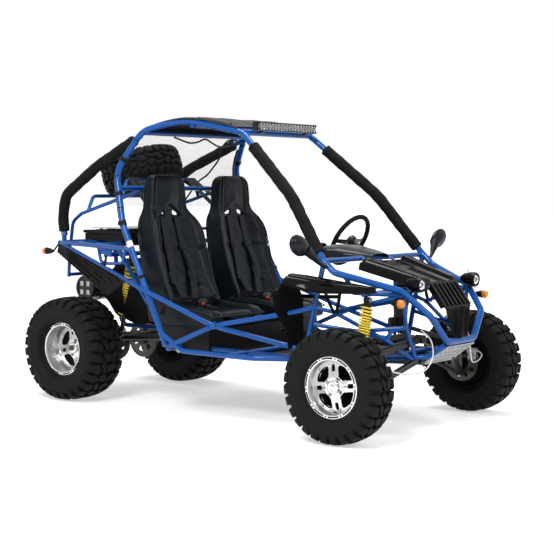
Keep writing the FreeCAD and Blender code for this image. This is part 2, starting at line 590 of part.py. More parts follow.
steering_gear = steering_gear.cut(rack_bore)
nodes["steering_gear"] = without(steering_gear, [floor_frame, nose_frame])

PEDAL_X = 1632.0
pedals = []
for y in (180, 250):
    pedals.append(box(PEDAL_X, PEDAL_X + 12, y - 28, y + 28, 430, 510))
    pedals.append(tube([at(PEDAL_X + 10, y, 470), at(PEDAL_X + 34, y, FLOOR_TOP)], 8))
nodes["pedals"] = without(fused(pedals), [floor_frame, nose_frame, nodes["floor_pan"],
                                          nodes["steering_gear"]])


# Shock absorbers
SPRING_R = 27.0
SPRING_WIRE_R = 4.5
SPRING_START = 28.0
SPRING_SHARE = 0.70
PERCH_T = 6.0
DAMPER_R = 15.0
DAMPER_ROD_R = 8.0
TURN_FACETS = 8


def shock(top, low):
    """The damper body, its rod, the two spring perches and the two eyes."""
    way = (low - top).normalize()
    length = (low - top).Length
    spring = length * SPRING_SHARE
    body = Part.makeCylinder(DAMPER_R, length * 0.55, top, way)
    rod = Part.makeCylinder(DAMPER_ROD_R, length, top, way)
    perches = [Part.makeCylinder(SPRING_R, PERCH_T, top + way * (SPRING_START + reach), way)
               for reach in (-PERCH_T, spring)]
    spring_end = SPRING_START + spring
    foot = Part.makeCylinder(DAMPER_R, length - spring_end, top + way * spring_end, way)
    eyes = [Part.makeCylinder(14, 28, p - ALONG * 14, ALONG) for p in (top, low)]
    return fused([body, rod, foot] + perches + eyes)


def coil(top, low, turns):
    """The spring between the perches: a four-sided wire along a helix, in flat facets."""
    way = (low - top).normalize()
    rise = (low - top).Length * SPRING_SHARE + SPRING_WIRE_R
    mean_r = SPRING_R - SPRING_WIRE_R
    steps = turns * TURN_FACETS
    rings = []
    for k in range(steps + 1):
        angle = 2 * math.pi * k / TURN_FACETS
        out = FreeCAD.Vector(math.cos(angle), math.sin(angle), 0)
        middle = out * mean_r + UP * (rise * k / steps)
        rings.append([middle + out * SPRING_WIRE_R, middle + UP * SPRING_WIRE_R, middle - out * SPRING_WIRE_R,
                      middle - UP * SPRING_WIRE_R])
    facets = [rings[0], rings[-1]]
    for ring, after in zip(rings, rings[1:]):
        for side in range(4):
            a, b = ring[side], ring[(side + 1) % 4]
            c, d = after[(side + 1) % 4], after[side]
            facets.append([a, b, c])
            facets.append([a, c, d])
    shell = Part.Shell([Part.Face(Part.makePolygon(facet + facet[:1])) for facet in facets])
    spring = Part.Solid(shell)
    first_turn = top + way * (SPRING_START - SPRING_WIRE_R / 2)
    spring.Placement = FreeCAD.Placement(first_turn, FreeCAD.Rotation(UP, way))
    return spring


FRONT_SHOCK = (at(AXLE_X, 385, 648), at(AXLE_X, 440, 385))
REAR_SHOCK = (at(300, 322, 772), at(205, 300, 380))
FRONT_TURNS = 11
REAR_TURNS = 14
front_shock = without(shock(*FRONT_SHOCK), [nose_frame, arms, guard])
rear_shock = without(shock(*REAR_SHOCK), [rear_frame, side_bars])


# Rear suspension, engine and exhaust
REAR_Y = REAR_TRACK / 2.0
REAR_Z = REAR_TYRE_R
AXLE_R = 15.0
BEARING_Y = 205.0
arm = tube([at(538, 250, 360), at(200, 270, 335), at(0, BEARING_Y, REAR_Z)], MAIN_R, [120])
carrier = Part.makeCylinder(38, 46, at(0, BEARING_Y - 23, REAR_Z), ACROSS)
arm_cross = tube([at(200, -270, 335), at(200, 270, 335)], MAIN_R)
pivot = tube([at(538, -300, 360), at(538, 300, 360)], MAIN_R)
TAIL_X = -132.0
TAIL_RISE = 20.6
EAR_RISE = 10.6
TAIL_Z = REAR_Z + TAIL_RISE
TOW_X = TAIL_X - 36.0
TOW_BORE_R = 8.0
TOW_T = 10.0
tow_low = TAIL_Z - TOW_T / 2
axle_room = Part.makeCylinder(AXLE_R + 0.05, 1000, at(0, -500, REAR_Z), ACROSS)
tail_bar = tube([at(TAIL_X, -BEARING_Y, TAIL_Z), at(TAIL_X, BEARING_Y, TAIL_Z)], 12)
tail_ears = both(tube([at(-30, BEARING_Y, REAR_Z + EAR_RISE), at(TAIL_X, BEARING_Y, TAIL_Z)], 12))
tow_tab = box(TOW_X - 24, TAIL_X, -24, 24, tow_low, tow_low + TOW_T)
tow_bore = Part.makeCylinder(TOW_BORE_R, TOW_T + 2, at(TOW_X, 0, tow_low - 1))
swing_arm = fused([both(arm), both(carrier), arm_cross, pivot, tail_bar, tail_ears, tow_tab])
swing_arm = without(swing_arm, [axle_room, tow_bore, rear_frame, floor_frame])
nodes["swing_arm"] = swing_arm
rear_shock = rear_shock.cut(swing_arm)
front_spring = coil(*FRONT_SHOCK, FRONT_TURNS)
rear_spring = coil(*REAR_SHOCK, REAR_TURNS)
nodes["shock_absorbers"] = both(fused([front_shock, front_spring, rear_shock, rear_spring]))

# Engine: crankcase on its plate, finned cylinder, belt cover on the left and fan cover on the right
ENGINE_PLATE_T = 10.0
CASE_FOOT_Z = ENGINE_FOOT_Z + ENGINE_PLATE_T
CASE_LEFT = 85.0
CASE_RIGHT = -95.0
BELT_COVER_Y = 112.0
BELT_COVER_W = 72.0
FAN_COVER_W = 62.0
CYLINDER_R = 44.0
CYLINDER_X = 400.0
CYLINDER_Z = 496.0
BELT_FRONT_R = 78.0
BELT_REAR_R = 64.0
FAN_COVER_R = 78.0
FAN_MOUTH_R = 56.0
FAN_X = 310.0
FAN_Z = 500.0
FINS = 7
FIN_T = 3.0
FIN_PITCH = 11.0
FIN_HALF = 58.0
SHAFT_X = 170.0
SHAFT_Z = 450.0
engine_plate = box(180, 380, -165, 165, ENGINE_FOOT_Z, CASE_FOOT_Z)
case = side_slab([(130, CASE_FOOT_Z), (370, CASE_FOOT_Z), (400, 440), (400, 550), (350, 585),
                  (210, 592), (140, 540), (120, 470)], CASE_RIGHT, CASE_LEFT)
cylinder = Part.makeCylinder(CYLINDER_R, FINS * FIN_PITCH + 14, at(CYLINDER_X - 10, 0, CYLINDER_Z),
                             ALONG)
fins = [box(CYLINDER_X + k * FIN_PITCH, CYLINDER_X + k * FIN_PITCH + FIN_T, -FIN_HALF, FIN_HALF,
            CYLINDER_Z - FIN_HALF, CYLINDER_Z + FIN_HALF)
        for k in range(FINS)]
head_x = CYLINDER_X + FINS * FIN_PITCH
cylinder_head = box(head_x, head_x + 26, -CYLINDER_R, CYLINDER_R, CYLINDER_Z - 40, CYLINDER_Z + 40)
belt_front = at(330, BELT_COVER_Y, 495)
belt_rear = at(SHAFT_X, BELT_COVER_Y, 478)
belt_cover = fused([Part.makeCylinder(BELT_FRONT_R, BELT_COVER_W, belt_front, ACROSS),
                    Part.makeCylinder(BELT_REAR_R, BELT_COVER_W, belt_rear, ACROSS),
                    side_slab([(SHAFT_X, 414), (330, 417), (330, 573), (SHAFT_X, 542)], BELT_COVER_Y,
                              BELT_COVER_Y + BELT_COVER_W)])
belt_neck = Part.makeCylinder(50, BELT_COVER_Y - CASE_LEFT + 1, at(330, CASE_LEFT - 1, 495), ACROSS)
fan_face_y = CASE_RIGHT - FAN_COVER_W
fan_cover = Part.makeCylinder(FAN_COVER_R, FAN_COVER_W, at(FAN_X, CASE_RIGHT + 1, FAN_Z), -ACROSS)
fan_mouth = Part.makeCylinder(FAN_MOUTH_R, 24, at(FAN_X, fan_face_y + 20, FAN_Z), -ACROSS)
fan_boss = Part.makeCylinder(20, 18, at(FAN_X, fan_face_y + 22, FAN_Z), -ACROSS)
shaft = Part.makeCylinder(12, BELT_COVER_Y - CASE_LEFT + 2, at(SHAFT_X, CASE_LEFT - 1, SHAFT_Z), ACROSS)
AIR_CLEANER_R = 36.0
AIR_CLEANER_Z = 618.0
INTAKE_R = 17.0
air_cleaner = tube([at(110, 0, AIR_CLEANER_Z), at(230, 0, AIR_CLEANER_Z)], AIR_CLEANER_R)
intake = tube([at(225, 0, AIR_CLEANER_Z), at(330, 0, AIR_CLEANER_Z), at(395, 0, 540)], INTAKE_R, [50])
engine = fused([engine_plate, case, cylinder, cylinder_head] + fins)
engine = fused([engine, belt_cover, belt_neck, shaft, air_cleaner, intake,
                fan_cover.cut(fan_mouth), fan_boss])
nodes["engine"] = without(engine, [rear_frame, swing_arm, rear_shock, mirrored(rear_shock)])

# Exhaust: a can across the tail, its right end with four square outlets, and the pipe from the cylinder head
MUFFLER_RIGHT = -235.0
MUFFLER_LENGTH = 400.0
OUTLET = 13.0
OUTLET_REACH = 30.0
PIPE_R = 15.0
PIPE_Y = -187.0
muffler = Part.makeCylinder(MUFFLER_R, MUFFLER_LENGTH, at(MUFFLER_X, MUFFLER_RIGHT, MUFFLER_Z), ACROSS)
outlets = []
for side in (-OUTLET_REACH, OUTLET_REACH):
    for up in (-OUTLET_REACH, OUTLET_REACH):
        outlets.append(box(MUFFLER_X + side - OUTLET, MUFFLER_X + side + OUTLET,
                           MUFFLER_RIGHT - 1, MUFFLER_RIGHT + 18,
                           MUFFLER_Z + up - OUTLET, MUFFLER_Z + up + OUTLET))
muffler = muffler.cut(outlets)
pipe = tube([at(head_x + 12, -40, 480), at(head_x + 12, PIPE_Y, 452), at(80, PIPE_Y, 440),
             at(-20, PIPE_Y, 560), at(-90, PIPE_Y, MUFFLER_Z)], PIPE_R, [45, 80, 60])
nodes["muffler"] = without(fused([muffler, pipe]), [nodes["engine"], rear_frame])
deck_box = box(-95, 220, -300, 220, DECK_Z + SIDE_R, 916)
nodes["rear_box"] = without(deck_box, [rear_frame, spare_rack])

NET_T = 2.0
NET_LINE = [(455, 930), (441, 965), (388, 1115), (361, 1195), (357, 1240), (373, 1290),
            (411, 1352), (462, 1438)]
net = side_slab(NET_LINE + [(x - NET_T, z) for x, z in reversed(NET_LINE)], -560, 560)
net_plan = plate([at(300, -551, 925), at(300, -497, 1240), at(300, -432, 1440), at(300, 432, 1440),
                  at(300, 497, 1240), at(300, 551, 925)], 300, ALONG)
nodes["rear_net"] = without(net.common(net_plan), [roof_bars, rear_frame, left_hoop, mirrored(left_hoop)])


# Wheels
BEAD_SHARE = 0.62
BEAD_RUN = 0.05
WINDOWS = 4
WINDOW_HALF = 26.0
WINDOW_INNER = 0.44
WINDOW_OUTER = 0.86
SLOT_INNER = 0.50
SPOKE_SLOT_W = 11.0


def tyre(centre, radius, width, out, rim_r=RIM_R):
    """A tyre with square shoulders; out is the side that faces away from the vehicle."""
    h = width / 2.0
    bead = h * BEAD_SHARE
    lip = rim_r + LIP_H + 2
    profile = [(-bead, rim_r), (-bead, lip), (-h * 0.86, rim_r + 30), (-h, radius * 0.74),
               (-h * 0.94, radius * 0.93), (-h * 0.78, radius), (h * 0.78, radius), (h * 0.94, radius * 0.93),
               (h, radius * 0.74), (h * 0.86, rim_r + 30), (bead, lip), (bead, rim_r)]
    return turned(profile, centre, out)


TREAD_STEPS = 14
GROOVE_W = 24.0
GROOVE_DEPTH = 13.0
GROOVE_TWIST = 18.0
GROOVE_DIP = 9.0


def lugged(body, centre, radius, width):
    """The tyre with slanted grooves from the crown out over both shoulders, staggered side to side."""
    h = width / 2.0
    grooves = []
    for k in range(TREAD_STEPS):
        for side in (-1, 1):
            groove = Part.makeBox(GROOVE_W, h, 60, FreeCAD.Vector(-GROOVE_W / 2, h * 0.14, -GROOVE_DEPTH))
            groove.rotate(HOME, ALONG, -GROOVE_DIP)
            groove.rotate(HOME, UP, GROOVE_TWIST)
            groove.translate(FreeCAD.Vector(0, 0, radius))
            if side < 0:
                groove = mirrored(groove)
            groove.translate(centre)
            groove.rotate(centre, ACROSS, 360.0 * (k + 0.25 * side) / TREAD_STEPS)
            grooves.append(groove)
        notch = Part.makeBox(2 * GROOVE_W, 8, 60, FreeCAD.Vector(-GROOVE_W, -4, -GROOVE_DEPTH))
        notch.rotate(HOME, UP, 40)
        notch.translate(FreeCAD.Vector(0, 0, radius) + centre)
        notch.rotate(centre, ACROSS, 360.0 * k / TREAD_STEPS)
        grooves.append(notch)
    return body.cut(grooves)


def sector(centre, inner, outer, half_angle, angle, deep):
    """A block between two radii and two angles about the axle, deep on both sides of the centre."""
    start = centre - ACROSS * deep
    ring = Part.makeCylinder(outer, 2 * deep, start, ACROSS, 2 * half_angle)
    ring = ring.cut(Part.makeCylinder(inner, 2 * deep, start, ACROSS))
    ring.rotate(centre, ACROSS, angle)
    return ring


def rim(centre, width, out, face, bore, rim_r=RIM_R):
    """A wheel: barrel, outer lip and a dished face with four windows between slotted spokes."""
    h = width / 2.0 * BEAD_SHARE + BEAD_RUN
    lip = rim_r + LIP_H
    barrel = turned([(-h - 8, rim_r - 8), (-h - 8, lip), (-h, lip), (-h, rim_r - BEAD_RUN),
                     (h, rim_r - BEAD_RUN), (h, lip), (h + 9, lip), (h + 9, rim_r - 8)], centre, out)
    web = turned([(face - 8, bore), (face + 12, bore), (face + 12, rim_r * 0.4), (face + 4, rim_r - 6),
                  (face - 8, rim_r - 6)], centre, out)
    face_centre = centre + ACROSS * (out * face)
    for k in range(WINDOWS):
        turn = 360.0 * k / WINDOWS
        window = sector(face_centre, rim_r * WINDOW_INNER, rim_r * WINDOW_OUTER, WINDOW_HALF, turn, 40)
        slot = Part.makeBox(rim_r * (WINDOW_OUTER - SLOT_INNER), 80, SPOKE_SLOT_W,
                            face_centre + FreeCAD.Vector(rim_r * SLOT_INNER, -40, -SPOKE_SLOT_W / 2))
        slot.rotate(face_centre, ACROSS, turn + WINDOW_HALF + 180.0 / WINDOWS)
        web = web.cut([window, slot])
    nave = turned([(face - 30, bore), (face + NAVE_H, bore), (face + NAVE_H, 30), (face + 8, 42),
                   (face - 30, 42)], centre, out)
    return fused([barrel, web, nave])


front_centre = at(AXLE_X, FRONT_Y, AXLE_Z)
rear_centre = at(0, REAR_Y, REAR_Z)
front_carcass = tyre(front_centre, FRONT_TYRE_R, FRONT_TYRE_W, 1)
front_tyre = lugged(front_carcass, front_centre, FRONT_TYRE_R, FRONT_TYRE_W)
rear_carcass = tyre(rear_centre, REAR_TYRE_R, REAR_TYRE_W, 1)
rear_tyre = lugged(rear_carcass, rear_centre, REAR_TYRE_R, REAR_TYRE_W)
FRONT_FACE = 20.0
front_rim = rim(front_centre, FRONT_TYRE_W, 1, FRONT_FACE, STUB_R + 0.05)
disc = turned([(-105, 20), (-105, 90), (-101, 90), (-101, 34), (-8, 34), (-8, 20)], front_centre, 1)
front_rim = front_rim.fuse(disc)
nodes["left_front_tyre"] = front_tyre
nodes["right_front_tyre"] = mirrored(front_tyre)
nodes["left_front_rim"] = front_rim
nodes["right_front_rim"] = mirrored(front_rim)

REAR_FACE = 10.0
rear_rim = rim(rear_centre, REAR_TYRE_W, 1, REAR_FACE, AXLE_R + 0.05)
axle_end = REAR_Y + REAR_FACE + NAVE_H
axle = Part.makeCylinder(AXLE_R, 2 * axle_end, at(0, -axle_end, REAR_Z), ACROSS)
SPROCKET_Y = 95.0
SPROCKET_R = 105.0
SPROCKET_T = 7.0
TEETH = 36
OUTPUT_TEETH = 12
TOOTH_H = 8.0
TOOTH_SHAPE = ((0.0, 0), (0.28, 0), (0.42, 1), (0.86, 1))


def toothed(centre, radius, teeth):
    """A chain sprocket out to the tips of its teeth."""
    points = []
    for k in range(teeth):
        for share, tip in TOOTH_SHAPE:
            angle = 2 * math.pi * (k + share) / teeth
            reach = radius - TOOTH_H + TOOTH_H * tip
            points.append(centre + FreeCAD.Vector(math.cos(angle), 0, math.sin(angle)) * reach)
    return Part.Face(Part.makePolygon(points + points[:1])).extrude(ACROSS * SPROCKET_T)


sprocket = toothed(at(0, SPROCKET_Y, REAR_Z), SPROCKET_R, TEETH)
output_sprocket = toothed(at(SHAFT_X, SPROCKET_Y, SHAFT_Z), SPROCKET_R * OUTPUT_TEETH / TEETH, OUTPUT_TEETH)
nodes["engine"] = nodes["engine"].fuse(output_sprocket)
REAR_DISC_R = 95.0
REAR_DISC_T = 4.0
rear_disc = Part.makeCylinder(REAR_DISC_R, REAR_DISC_T, at(0, -120, REAR_Z), ACROSS)
bosses = [Part.makeCylinder(30, 40, at(0, y, REAR_Z), ACROSS) for y in (SPROCKET_Y - 16, -138)]
nodes["rear_axle"] = fused([axle, sprocket, rear_disc] + bosses)
nodes["left_rear_tyre"] = rear_tyre
nodes["right_rear_tyre"] = mirrored(rear_tyre)
nodes["left_rear_rim"] = rear_rim
nodes["right_rear_rim"] = mirrored(rear_rim)

# Spare wheel on its carrier between the stays
spare_centre = at(0, 0, 0)
spare_tyre = tyre(spare_centre, SPARE_R, SPARE_W, 1, SPARE_RIM_R)
spare_tyre = lugged(spare_tyre, spare_centre, SPARE_R, SPARE_W)
spare_rim = rim(spare_centre, SPARE_W, 1, SPARE_FACE, SPARE_STUD_R * 2, SPARE_RIM_R)
for name, shape in (("spare_tyre", spare_tyre), ("spare_rim", spare_rim)):
    shape.rotate(spare_centre, ALONG, 90)
    shape.rotate(spare_centre, ACROSS, -SPARE_LEAN)
    shape.translate(SPARE_PLACE - spare_centre)
    nodes[name] = shape

for name, shape in nodes.items():
    shape.exportStep("parts/%s.step" % name)
    reach = shape.BoundBox
    print("%-20s solids %d valid %s x %.0f..%.0f y %.0f..%.0f z %.0f..%.0f" % (
        name, len(shape.Solids), shape.isValid(), reach.XMin + MIDDLE_X, reach.XMax + MIDDLE_X,
        reach.YMin, reach.YMax, reach.ZMin, reach.ZMax))
print(len(nodes), "nodes, middle at", MIDDLE_X)
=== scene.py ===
# %% [markdown]
# # A two-seat dune buggy
# A light off-road buggy is a cage of bent steel tube with everything bolted to the outside of it,
# so nearly every part of it shows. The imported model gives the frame, the panels and the moving
# bodies. The cells below dress it: paint and polish for what is already right, and new surfaces
# for tyres, wheels, seats, springs, lamps and the engine.

# %% Load the frame
import math
import bmesh
import bpy
import numpy as np
from mathutils import Matrix, Vector


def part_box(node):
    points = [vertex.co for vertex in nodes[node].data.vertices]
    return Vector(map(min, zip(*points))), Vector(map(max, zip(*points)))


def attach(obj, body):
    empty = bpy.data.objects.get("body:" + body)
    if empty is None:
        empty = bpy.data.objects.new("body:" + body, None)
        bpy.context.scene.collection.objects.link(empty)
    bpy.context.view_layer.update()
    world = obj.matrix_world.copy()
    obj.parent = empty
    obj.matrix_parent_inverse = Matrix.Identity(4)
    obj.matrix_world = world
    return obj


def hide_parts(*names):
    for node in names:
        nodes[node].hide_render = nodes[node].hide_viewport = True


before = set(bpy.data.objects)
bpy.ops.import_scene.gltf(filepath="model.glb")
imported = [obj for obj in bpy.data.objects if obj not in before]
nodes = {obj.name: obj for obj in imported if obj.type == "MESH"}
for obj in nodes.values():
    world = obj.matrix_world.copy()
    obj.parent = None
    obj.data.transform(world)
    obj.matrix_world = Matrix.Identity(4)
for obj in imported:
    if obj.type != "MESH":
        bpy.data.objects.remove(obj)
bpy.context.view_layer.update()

# %% [markdown]
# ## Places on the vehicle
# Every length below is in metres and is counted from the rear axle, as a mechanic would measure
# it. The axle's place comes from the frame itself, so one helper turns such a place into the
# frame's own coordinates.


# %% Places
def middle_of(node):
    """The middle of a node's box."""
    low, high = (np.array(c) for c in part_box(node))
    return (low + high) / 2


REAR_X = middle_of("left_rear_tyre")[0]
FRONT_HUB = middle_of("left_front_tyre")
REAR_HUB = middle_of("left_rear_tyre")


def place(x, y, z):
    """A point given from the rear axle, the middle plane and the ground."""
    return np.array([x + REAR_X, y, z], float)


def places(points):
    """Many such points as one array."""
    return np.array(points, float) + np.array([REAR_X, 0.0, 0.0])


print("wheelbase", round(FRONT_HUB[0] - REAR_X, 3), "m")

# %% [markdown]
# ## The camera
# The photograph was matched by solving for a camera that puts the four wheels and the left and
# right corners of the cage where they are in the picture. The solution is a long lens, about
# 37 degrees off the side and 4 degrees above level, with a slight roll. A camera in Blender looks
# along its own minus Z, so its matrix holds the right, up and backward directions as columns.

# %% Camera
CAMERA_YAW = math.radians(36.809)
CAMERA_PITCH = math.radians(4.003)
CAMERA_ROLL = math.radians(0.665)
CAMERA_PLACE = place(5.385, -5.819, 1.203)
FOCAL_IN_PIXELS = 1388.4
PHOTO_WIDTH = 554.0
SENSOR = 36.0

backward = Vector((math.sin(CAMERA_YAW) * math.cos(CAMERA_PITCH),
                   -math.cos(CAMERA_YAW) * math.cos(CAMERA_PITCH), math.sin(CAMERA_PITCH)))
level_right = (-backward).cross(Vector((0, 0, 1))).normalized()
level_up = level_right.cross(-backward)
right = level_right * math.cos(CAMERA_ROLL) + level_up * math.sin(CAMERA_ROLL)
upward = level_up * math.cos(CAMERA_ROLL) - level_right * math.sin(CAMERA_ROLL)
lens = bpy.data.cameras.new("camera")
lens.lens = FOCAL_IN_PIXELS / PHOTO_WIDTH * SENSOR
lens.sensor_width = SENSOR
lens.clip_end = 60.0
camera = bpy.data.objects.new("camera", lens)
turn = Matrix((right, upward, backward)).transposed().to_4x4()
camera.matrix_world = Matrix.Translation(Vector(CAMERA_PLACE)) @ turn
bpy.context.scene.collection.objects.link(camera)
bpy.context.scene.camera = camera
bpy.context.scene.view_settings.view_transform = "Standard"
print("lens", round(lens.lens, 1), "mm")

# %% [markdown]
# ## Studio
# A pale floor and sky keep the object alone in the picture. Large area lamps give long soft
# highlights along the tubes, which is how a round painted tube reads as round. Camera and mirror
# rays see a plain white sky, while the light that falls on the object stays moderate.


# %% Studio
def node_tree(material):
    """The node tree of a new material or world, emptied."""
    material.use_nodes = True
    material.node_tree.nodes.clear()
    return material.node_tree


def link(tree, source, output, target, socket):
    """One link between two nodes by socket names or numbers."""
    tree.links.new(source.outputs[output], target.inputs[socket])


def seen(tree):
    """One where the ray comes from the camera, a mirror or a lens, and nought where it carries light."""
    path = tree.nodes.new("ShaderNodeLightPath")
    last = path
    for number, way in enumerate(("Is Glossy Ray", "Is Transmission Ray")):
        most = tree.nodes.new("ShaderNodeMath")
        most.operation = "MAXIMUM"
        link(tree, last, "Is Camera Ray" if number == 0 else 0, most, 0)
        link(tree, path, way, most, 1)
        last = most
    return last


def sky():
    """A white world for the camera and reflections, and a softer one as light."""
    world = bpy.data.worlds.new("studio")
    bpy.context.scene.world = world
    tree = node_tree(world)
    out = tree.nodes.new("ShaderNodeOutputWorld")
    soft = tree.nodes.new("ShaderNodeBackground")
    soft.inputs["Strength"].default_value = 0.30
    soft.inputs["Color"].default_value = (1, 1, 1, 1)
    bright = tree.nodes.new("ShaderNodeBackground")
    bright.inputs["Strength"].default_value = 1.0
    bright.inputs["Color"].default_value = (1, 1, 1, 1)
    mix = tree.nodes.new("ShaderNodeMixShader")
    link(tree, seen(tree), 0, mix, 0)
    link(tree, soft, 0, mix, 1)
    link(tree, bright, 0, mix, 2)
    link(tree, mix, 0, out, 0)


def floor():
    """A large pale floor that keeps the shadow, white to the camera."""
    span = 40.0
    mesh = bpy.data.meshes.new("floor")
    mesh.from_pydata([(-span, -span, 0), (span, -span, 0), (span, span, 0), (-span, span, 0)], [],
                     [(0, 1, 2, 3)])
    ground = bpy.data.objects.new("floor", mesh)
    bpy.context.scene.collection.objects.link(ground)
    material = bpy.data.materials.new("pale_floor")
    tree = node_tree(material)
    out = tree.nodes.new("ShaderNodeOutputMaterial")
    shader = tree.nodes.new("ShaderNodeBsdfPrincipled")
    shader.inputs["Base Color"].default_value = (0.93, 0.93, 0.93, 1)
    shader.inputs["Roughness"].default_value = 0.9
    glow = tree.nodes.new("ShaderNodeEmission")
    glow.inputs["Color"].default_value = (1, 1, 1, 1)
    coordinate = tree.nodes.new("ShaderNodeTexCoord")
    distance = tree.nodes.new("ShaderNodeVectorMath")
    distance.operation = "LENGTH"
    link(tree, coordinate, "Object", distance, 0)
    fade = tree.nodes.new("ShaderNodeMapRange")
    fade.interpolation_type = "SMOOTHSTEP"
    for slot_name, value in (("From Min", 1.6), ("From Max", 4.6), ("To Min", 0.50), ("To Max", 1.1)):
        fade.inputs[slot_name].default_value = value
    link(tree, distance, "Value", fade, "Value")
    link(tree, fade, 0, glow, "Strength")
    lift = tree.nodes.new("ShaderNodeMixShader")
    black = tree.nodes.new("ShaderNodeEmission")
    black.inputs["Strength"].default_value = 0.0
    add = tree.nodes.new("ShaderNodeAddShader")
    link(tree, seen(tree), 0, lift, 0)
    link(tree, black, 0, lift, 1)
    link(tree, glow, 0, lift, 2)
    link(tree, shader, 0, add, 0)
    link(tree, lift, 0, add, 1)
    link(tree, add, 0, out, 0)
    mesh.materials.append(material)


def lamp(name, spot, aim, width, height, power):
    """A rectangular area lamp at spot, turned towards aim."""
    light = bpy.data.lights.new(name, "AREA")
    light.shape = "RECTANGLE"
    light.size = width
    light.size_y = height
    light.energy = power
    thing = bpy.data.objects.new(name, light)
    way = Vector(aim) - Vector(spot)
    turned = way.to_track_quat("-Z", "Y").to_matrix().to_4x4()
    thing.matrix_world = Matrix.Translation(Vector(spot)) @ turned
    bpy.context.scene.collection.objects.link(thing)


sky()
floor()
lamp("key", (1.5, -5.0, 5.0), (0, 0, 0.6), 2.4, 1.4, 270.0)
lamp("nose", (5.5, -0.5, 3.5), (0.4, 0, 0.6), 2.0, 2.0, 90.0)
lamp("overhead", (-0.5, 0.5, 5.5), (0, 0, 0.6), 2.4, 2.4, 200.0)
print("studio ready")

# %% [markdown]
# ## Paint, rubber, vinyl and metal
# One helper builds every finish: a Principled shader whose roughness and surface are broken up
# by noise in Object coordinates, because no real finish is perfectly even. Each finish then only
# says its colour, its gloss and the scale of its grain. Speckle tints the colour a little at a
# second, larger scale, as dust, polish and moulding do.

# %% Finishes
materials = {}


def finish(name, color, roughness, metallic=0.0, coat=0.0, grain=400.0, bump=0.05, spread=0.05,
           patchy=0.08, patch_scale=6.0, cells=False, stretch=(1, 1, 1), deep=0.001, coat_roughness=0.05,
           transmission=0.0, ior=1.5, sheen=0.0, anisotropic=0.0, specular=0.5):
    """A procedural finish: grain is the number of bumps to a metre, spread the change of roughness."""
    material = bpy.data.materials.new(name)
    tree = node_tree(material)
    out = tree.nodes.new("ShaderNodeOutputMaterial")
    shader = tree.nodes.new("ShaderNodeBsdfPrincipled")
    shader.inputs["Metallic"].default_value = metallic
    shader.inputs["Coat Weight"].default_value = coat
    shader.inputs["Coat Roughness"].default_value = coat_roughness
    shader.inputs["IOR"].default_value = ior
    shader.inputs["Transmission Weight"].default_value = transmission
    shader.inputs["Sheen Weight"].default_value = sheen
    shader.inputs["Specular IOR Level"].default_value = specular
    shader.inputs["Anisotropic"].default_value = anisotropic
    where = tree.nodes.new("ShaderNodeTexCoord")
    mapping = tree.nodes.new("ShaderNodeMapping")
    mapping.inputs["Scale"].default_value = stretch
    link(tree, where, "Object", mapping, "Vector")
    if cells:
        fine = tree.nodes.new("ShaderNodeTexVoronoi")
        height = "Distance"
    else:
        fine = tree.nodes.new("ShaderNodeTexNoise")
        fine.inputs["Detail"].default_value = 3.0
        height = "Fac"
    fine.inputs["Scale"].default_value = grain
    link(tree, mapping, 0, fine, "Vector")
    broad = tree.nodes.new("ShaderNodeTexNoise")
    broad.inputs["Scale"].default_value = patch_scale
    broad.inputs["Detail"].default_value = 4.0
    link(tree, mapping, 0, broad, "Vector")
    rough = tree.nodes.new("ShaderNodeMapRange")
    rough.inputs["To Min"].default_value = max(0.02, roughness - spread)
    rough.inputs["To Max"].default_value = min(1.0, roughness + spread)
    link(tree, broad, "Fac", rough, "Value")
    link(tree, rough, 0, shader, "Roughness")
    tint = tree.nodes.new("ShaderNodeMix")
    tint.data_type = "RGBA"
    dark = [c * (1 - patchy) for c in color]
    light = [min(1.0, c * (1 + patchy) + patchy * 0.004) for c in color]
    tint.inputs["A"].default_value = (*dark, 1)
    tint.inputs["B"].default_value = (*light, 1)
    link(tree, broad, "Fac", tint, "Factor")
    link(tree, tint, "Result", shader, "Base Color")
    if bump > 0:
        relief = tree.nodes.new("ShaderNodeBump")
        relief.inputs["Strength"].default_value = bump
        relief.inputs["Distance"].default_value = deep
        link(tree, fine, height, relief, "Height")
        link(tree, relief, 0, shader, "Normal")
    link(tree, shader, 0, out, 0)
    materials[name] = material
    return material


BLUE = (0.0020, 0.079, 0.335)
finish("blue_paint", BLUE, 0.16, coat=0.30, grain=260, bump=0.015, patchy=0.05,
       specular=0.12, coat_roughness=0.02)
# Near-black and almost without reflection: the black parts of the wheels, and the discs of painted shade
# behind their spokes.
finish("wheel_black", (0.004, 0.004, 0.004), 0.6, grain=300, bump=0.05, specular=0.06)
finish("dark_steel", (0.075, 0.072, 0.062), 0.42, metallic=0.85, grain=380, bump=0.15, patchy=0.3)
finish("bright_plate", (0.66, 0.67, 0.68), 0.32, metallic=0.25, grain=260, bump=0.05)
finish("black_paint", (0.008, 0.008, 0.009), 0.36, coat=0.15, grain=300, bump=0.06, specular=0.25)
finish("foam", (0.006, 0.006, 0.0066), 0.8, grain=900, bump=0.35, cells=True, deep=0.0012, specular=0.12)
finish("roof_black", (0.006, 0.006, 0.007), 0.42, grain=700, bump=0.2, specular=0.16)
finish("gloss_black", (0.0022, 0.0022, 0.0026), 0.22, coat=0.16, grain=120, bump=0.008,
       coat_roughness=0.02, specular=0.04)
finish("moulded_black", (0.0030, 0.0030, 0.0033), 0.5, grain=600, bump=0.06, specular=0.05)
finish("mirror_black", (0.0050, 0.0062, 0.0100), 0.3, grain=300, bump=0.03, coat=0.10, specular=0.12)
finish("trim_black", (0.006, 0.006, 0.0068), 0.42, grain=1300, bump=0.25, cells=True, specular=0.14)
finish("vinyl", (0.0034, 0.0058, 0.0100), 0.33, grain=520, bump=0.25, cells=True, deep=0.0008,
       specular=0.15)
finish("vinyl_edge", (0.012, 0.014, 0.018), 0.45, grain=520, bump=0.2, specular=0.2)
finish("webbing", (0.0070, 0.0085, 0.0125), 0.55, grain=500, bump=0.5, stretch=(1, 3, 1), specular=0.2)
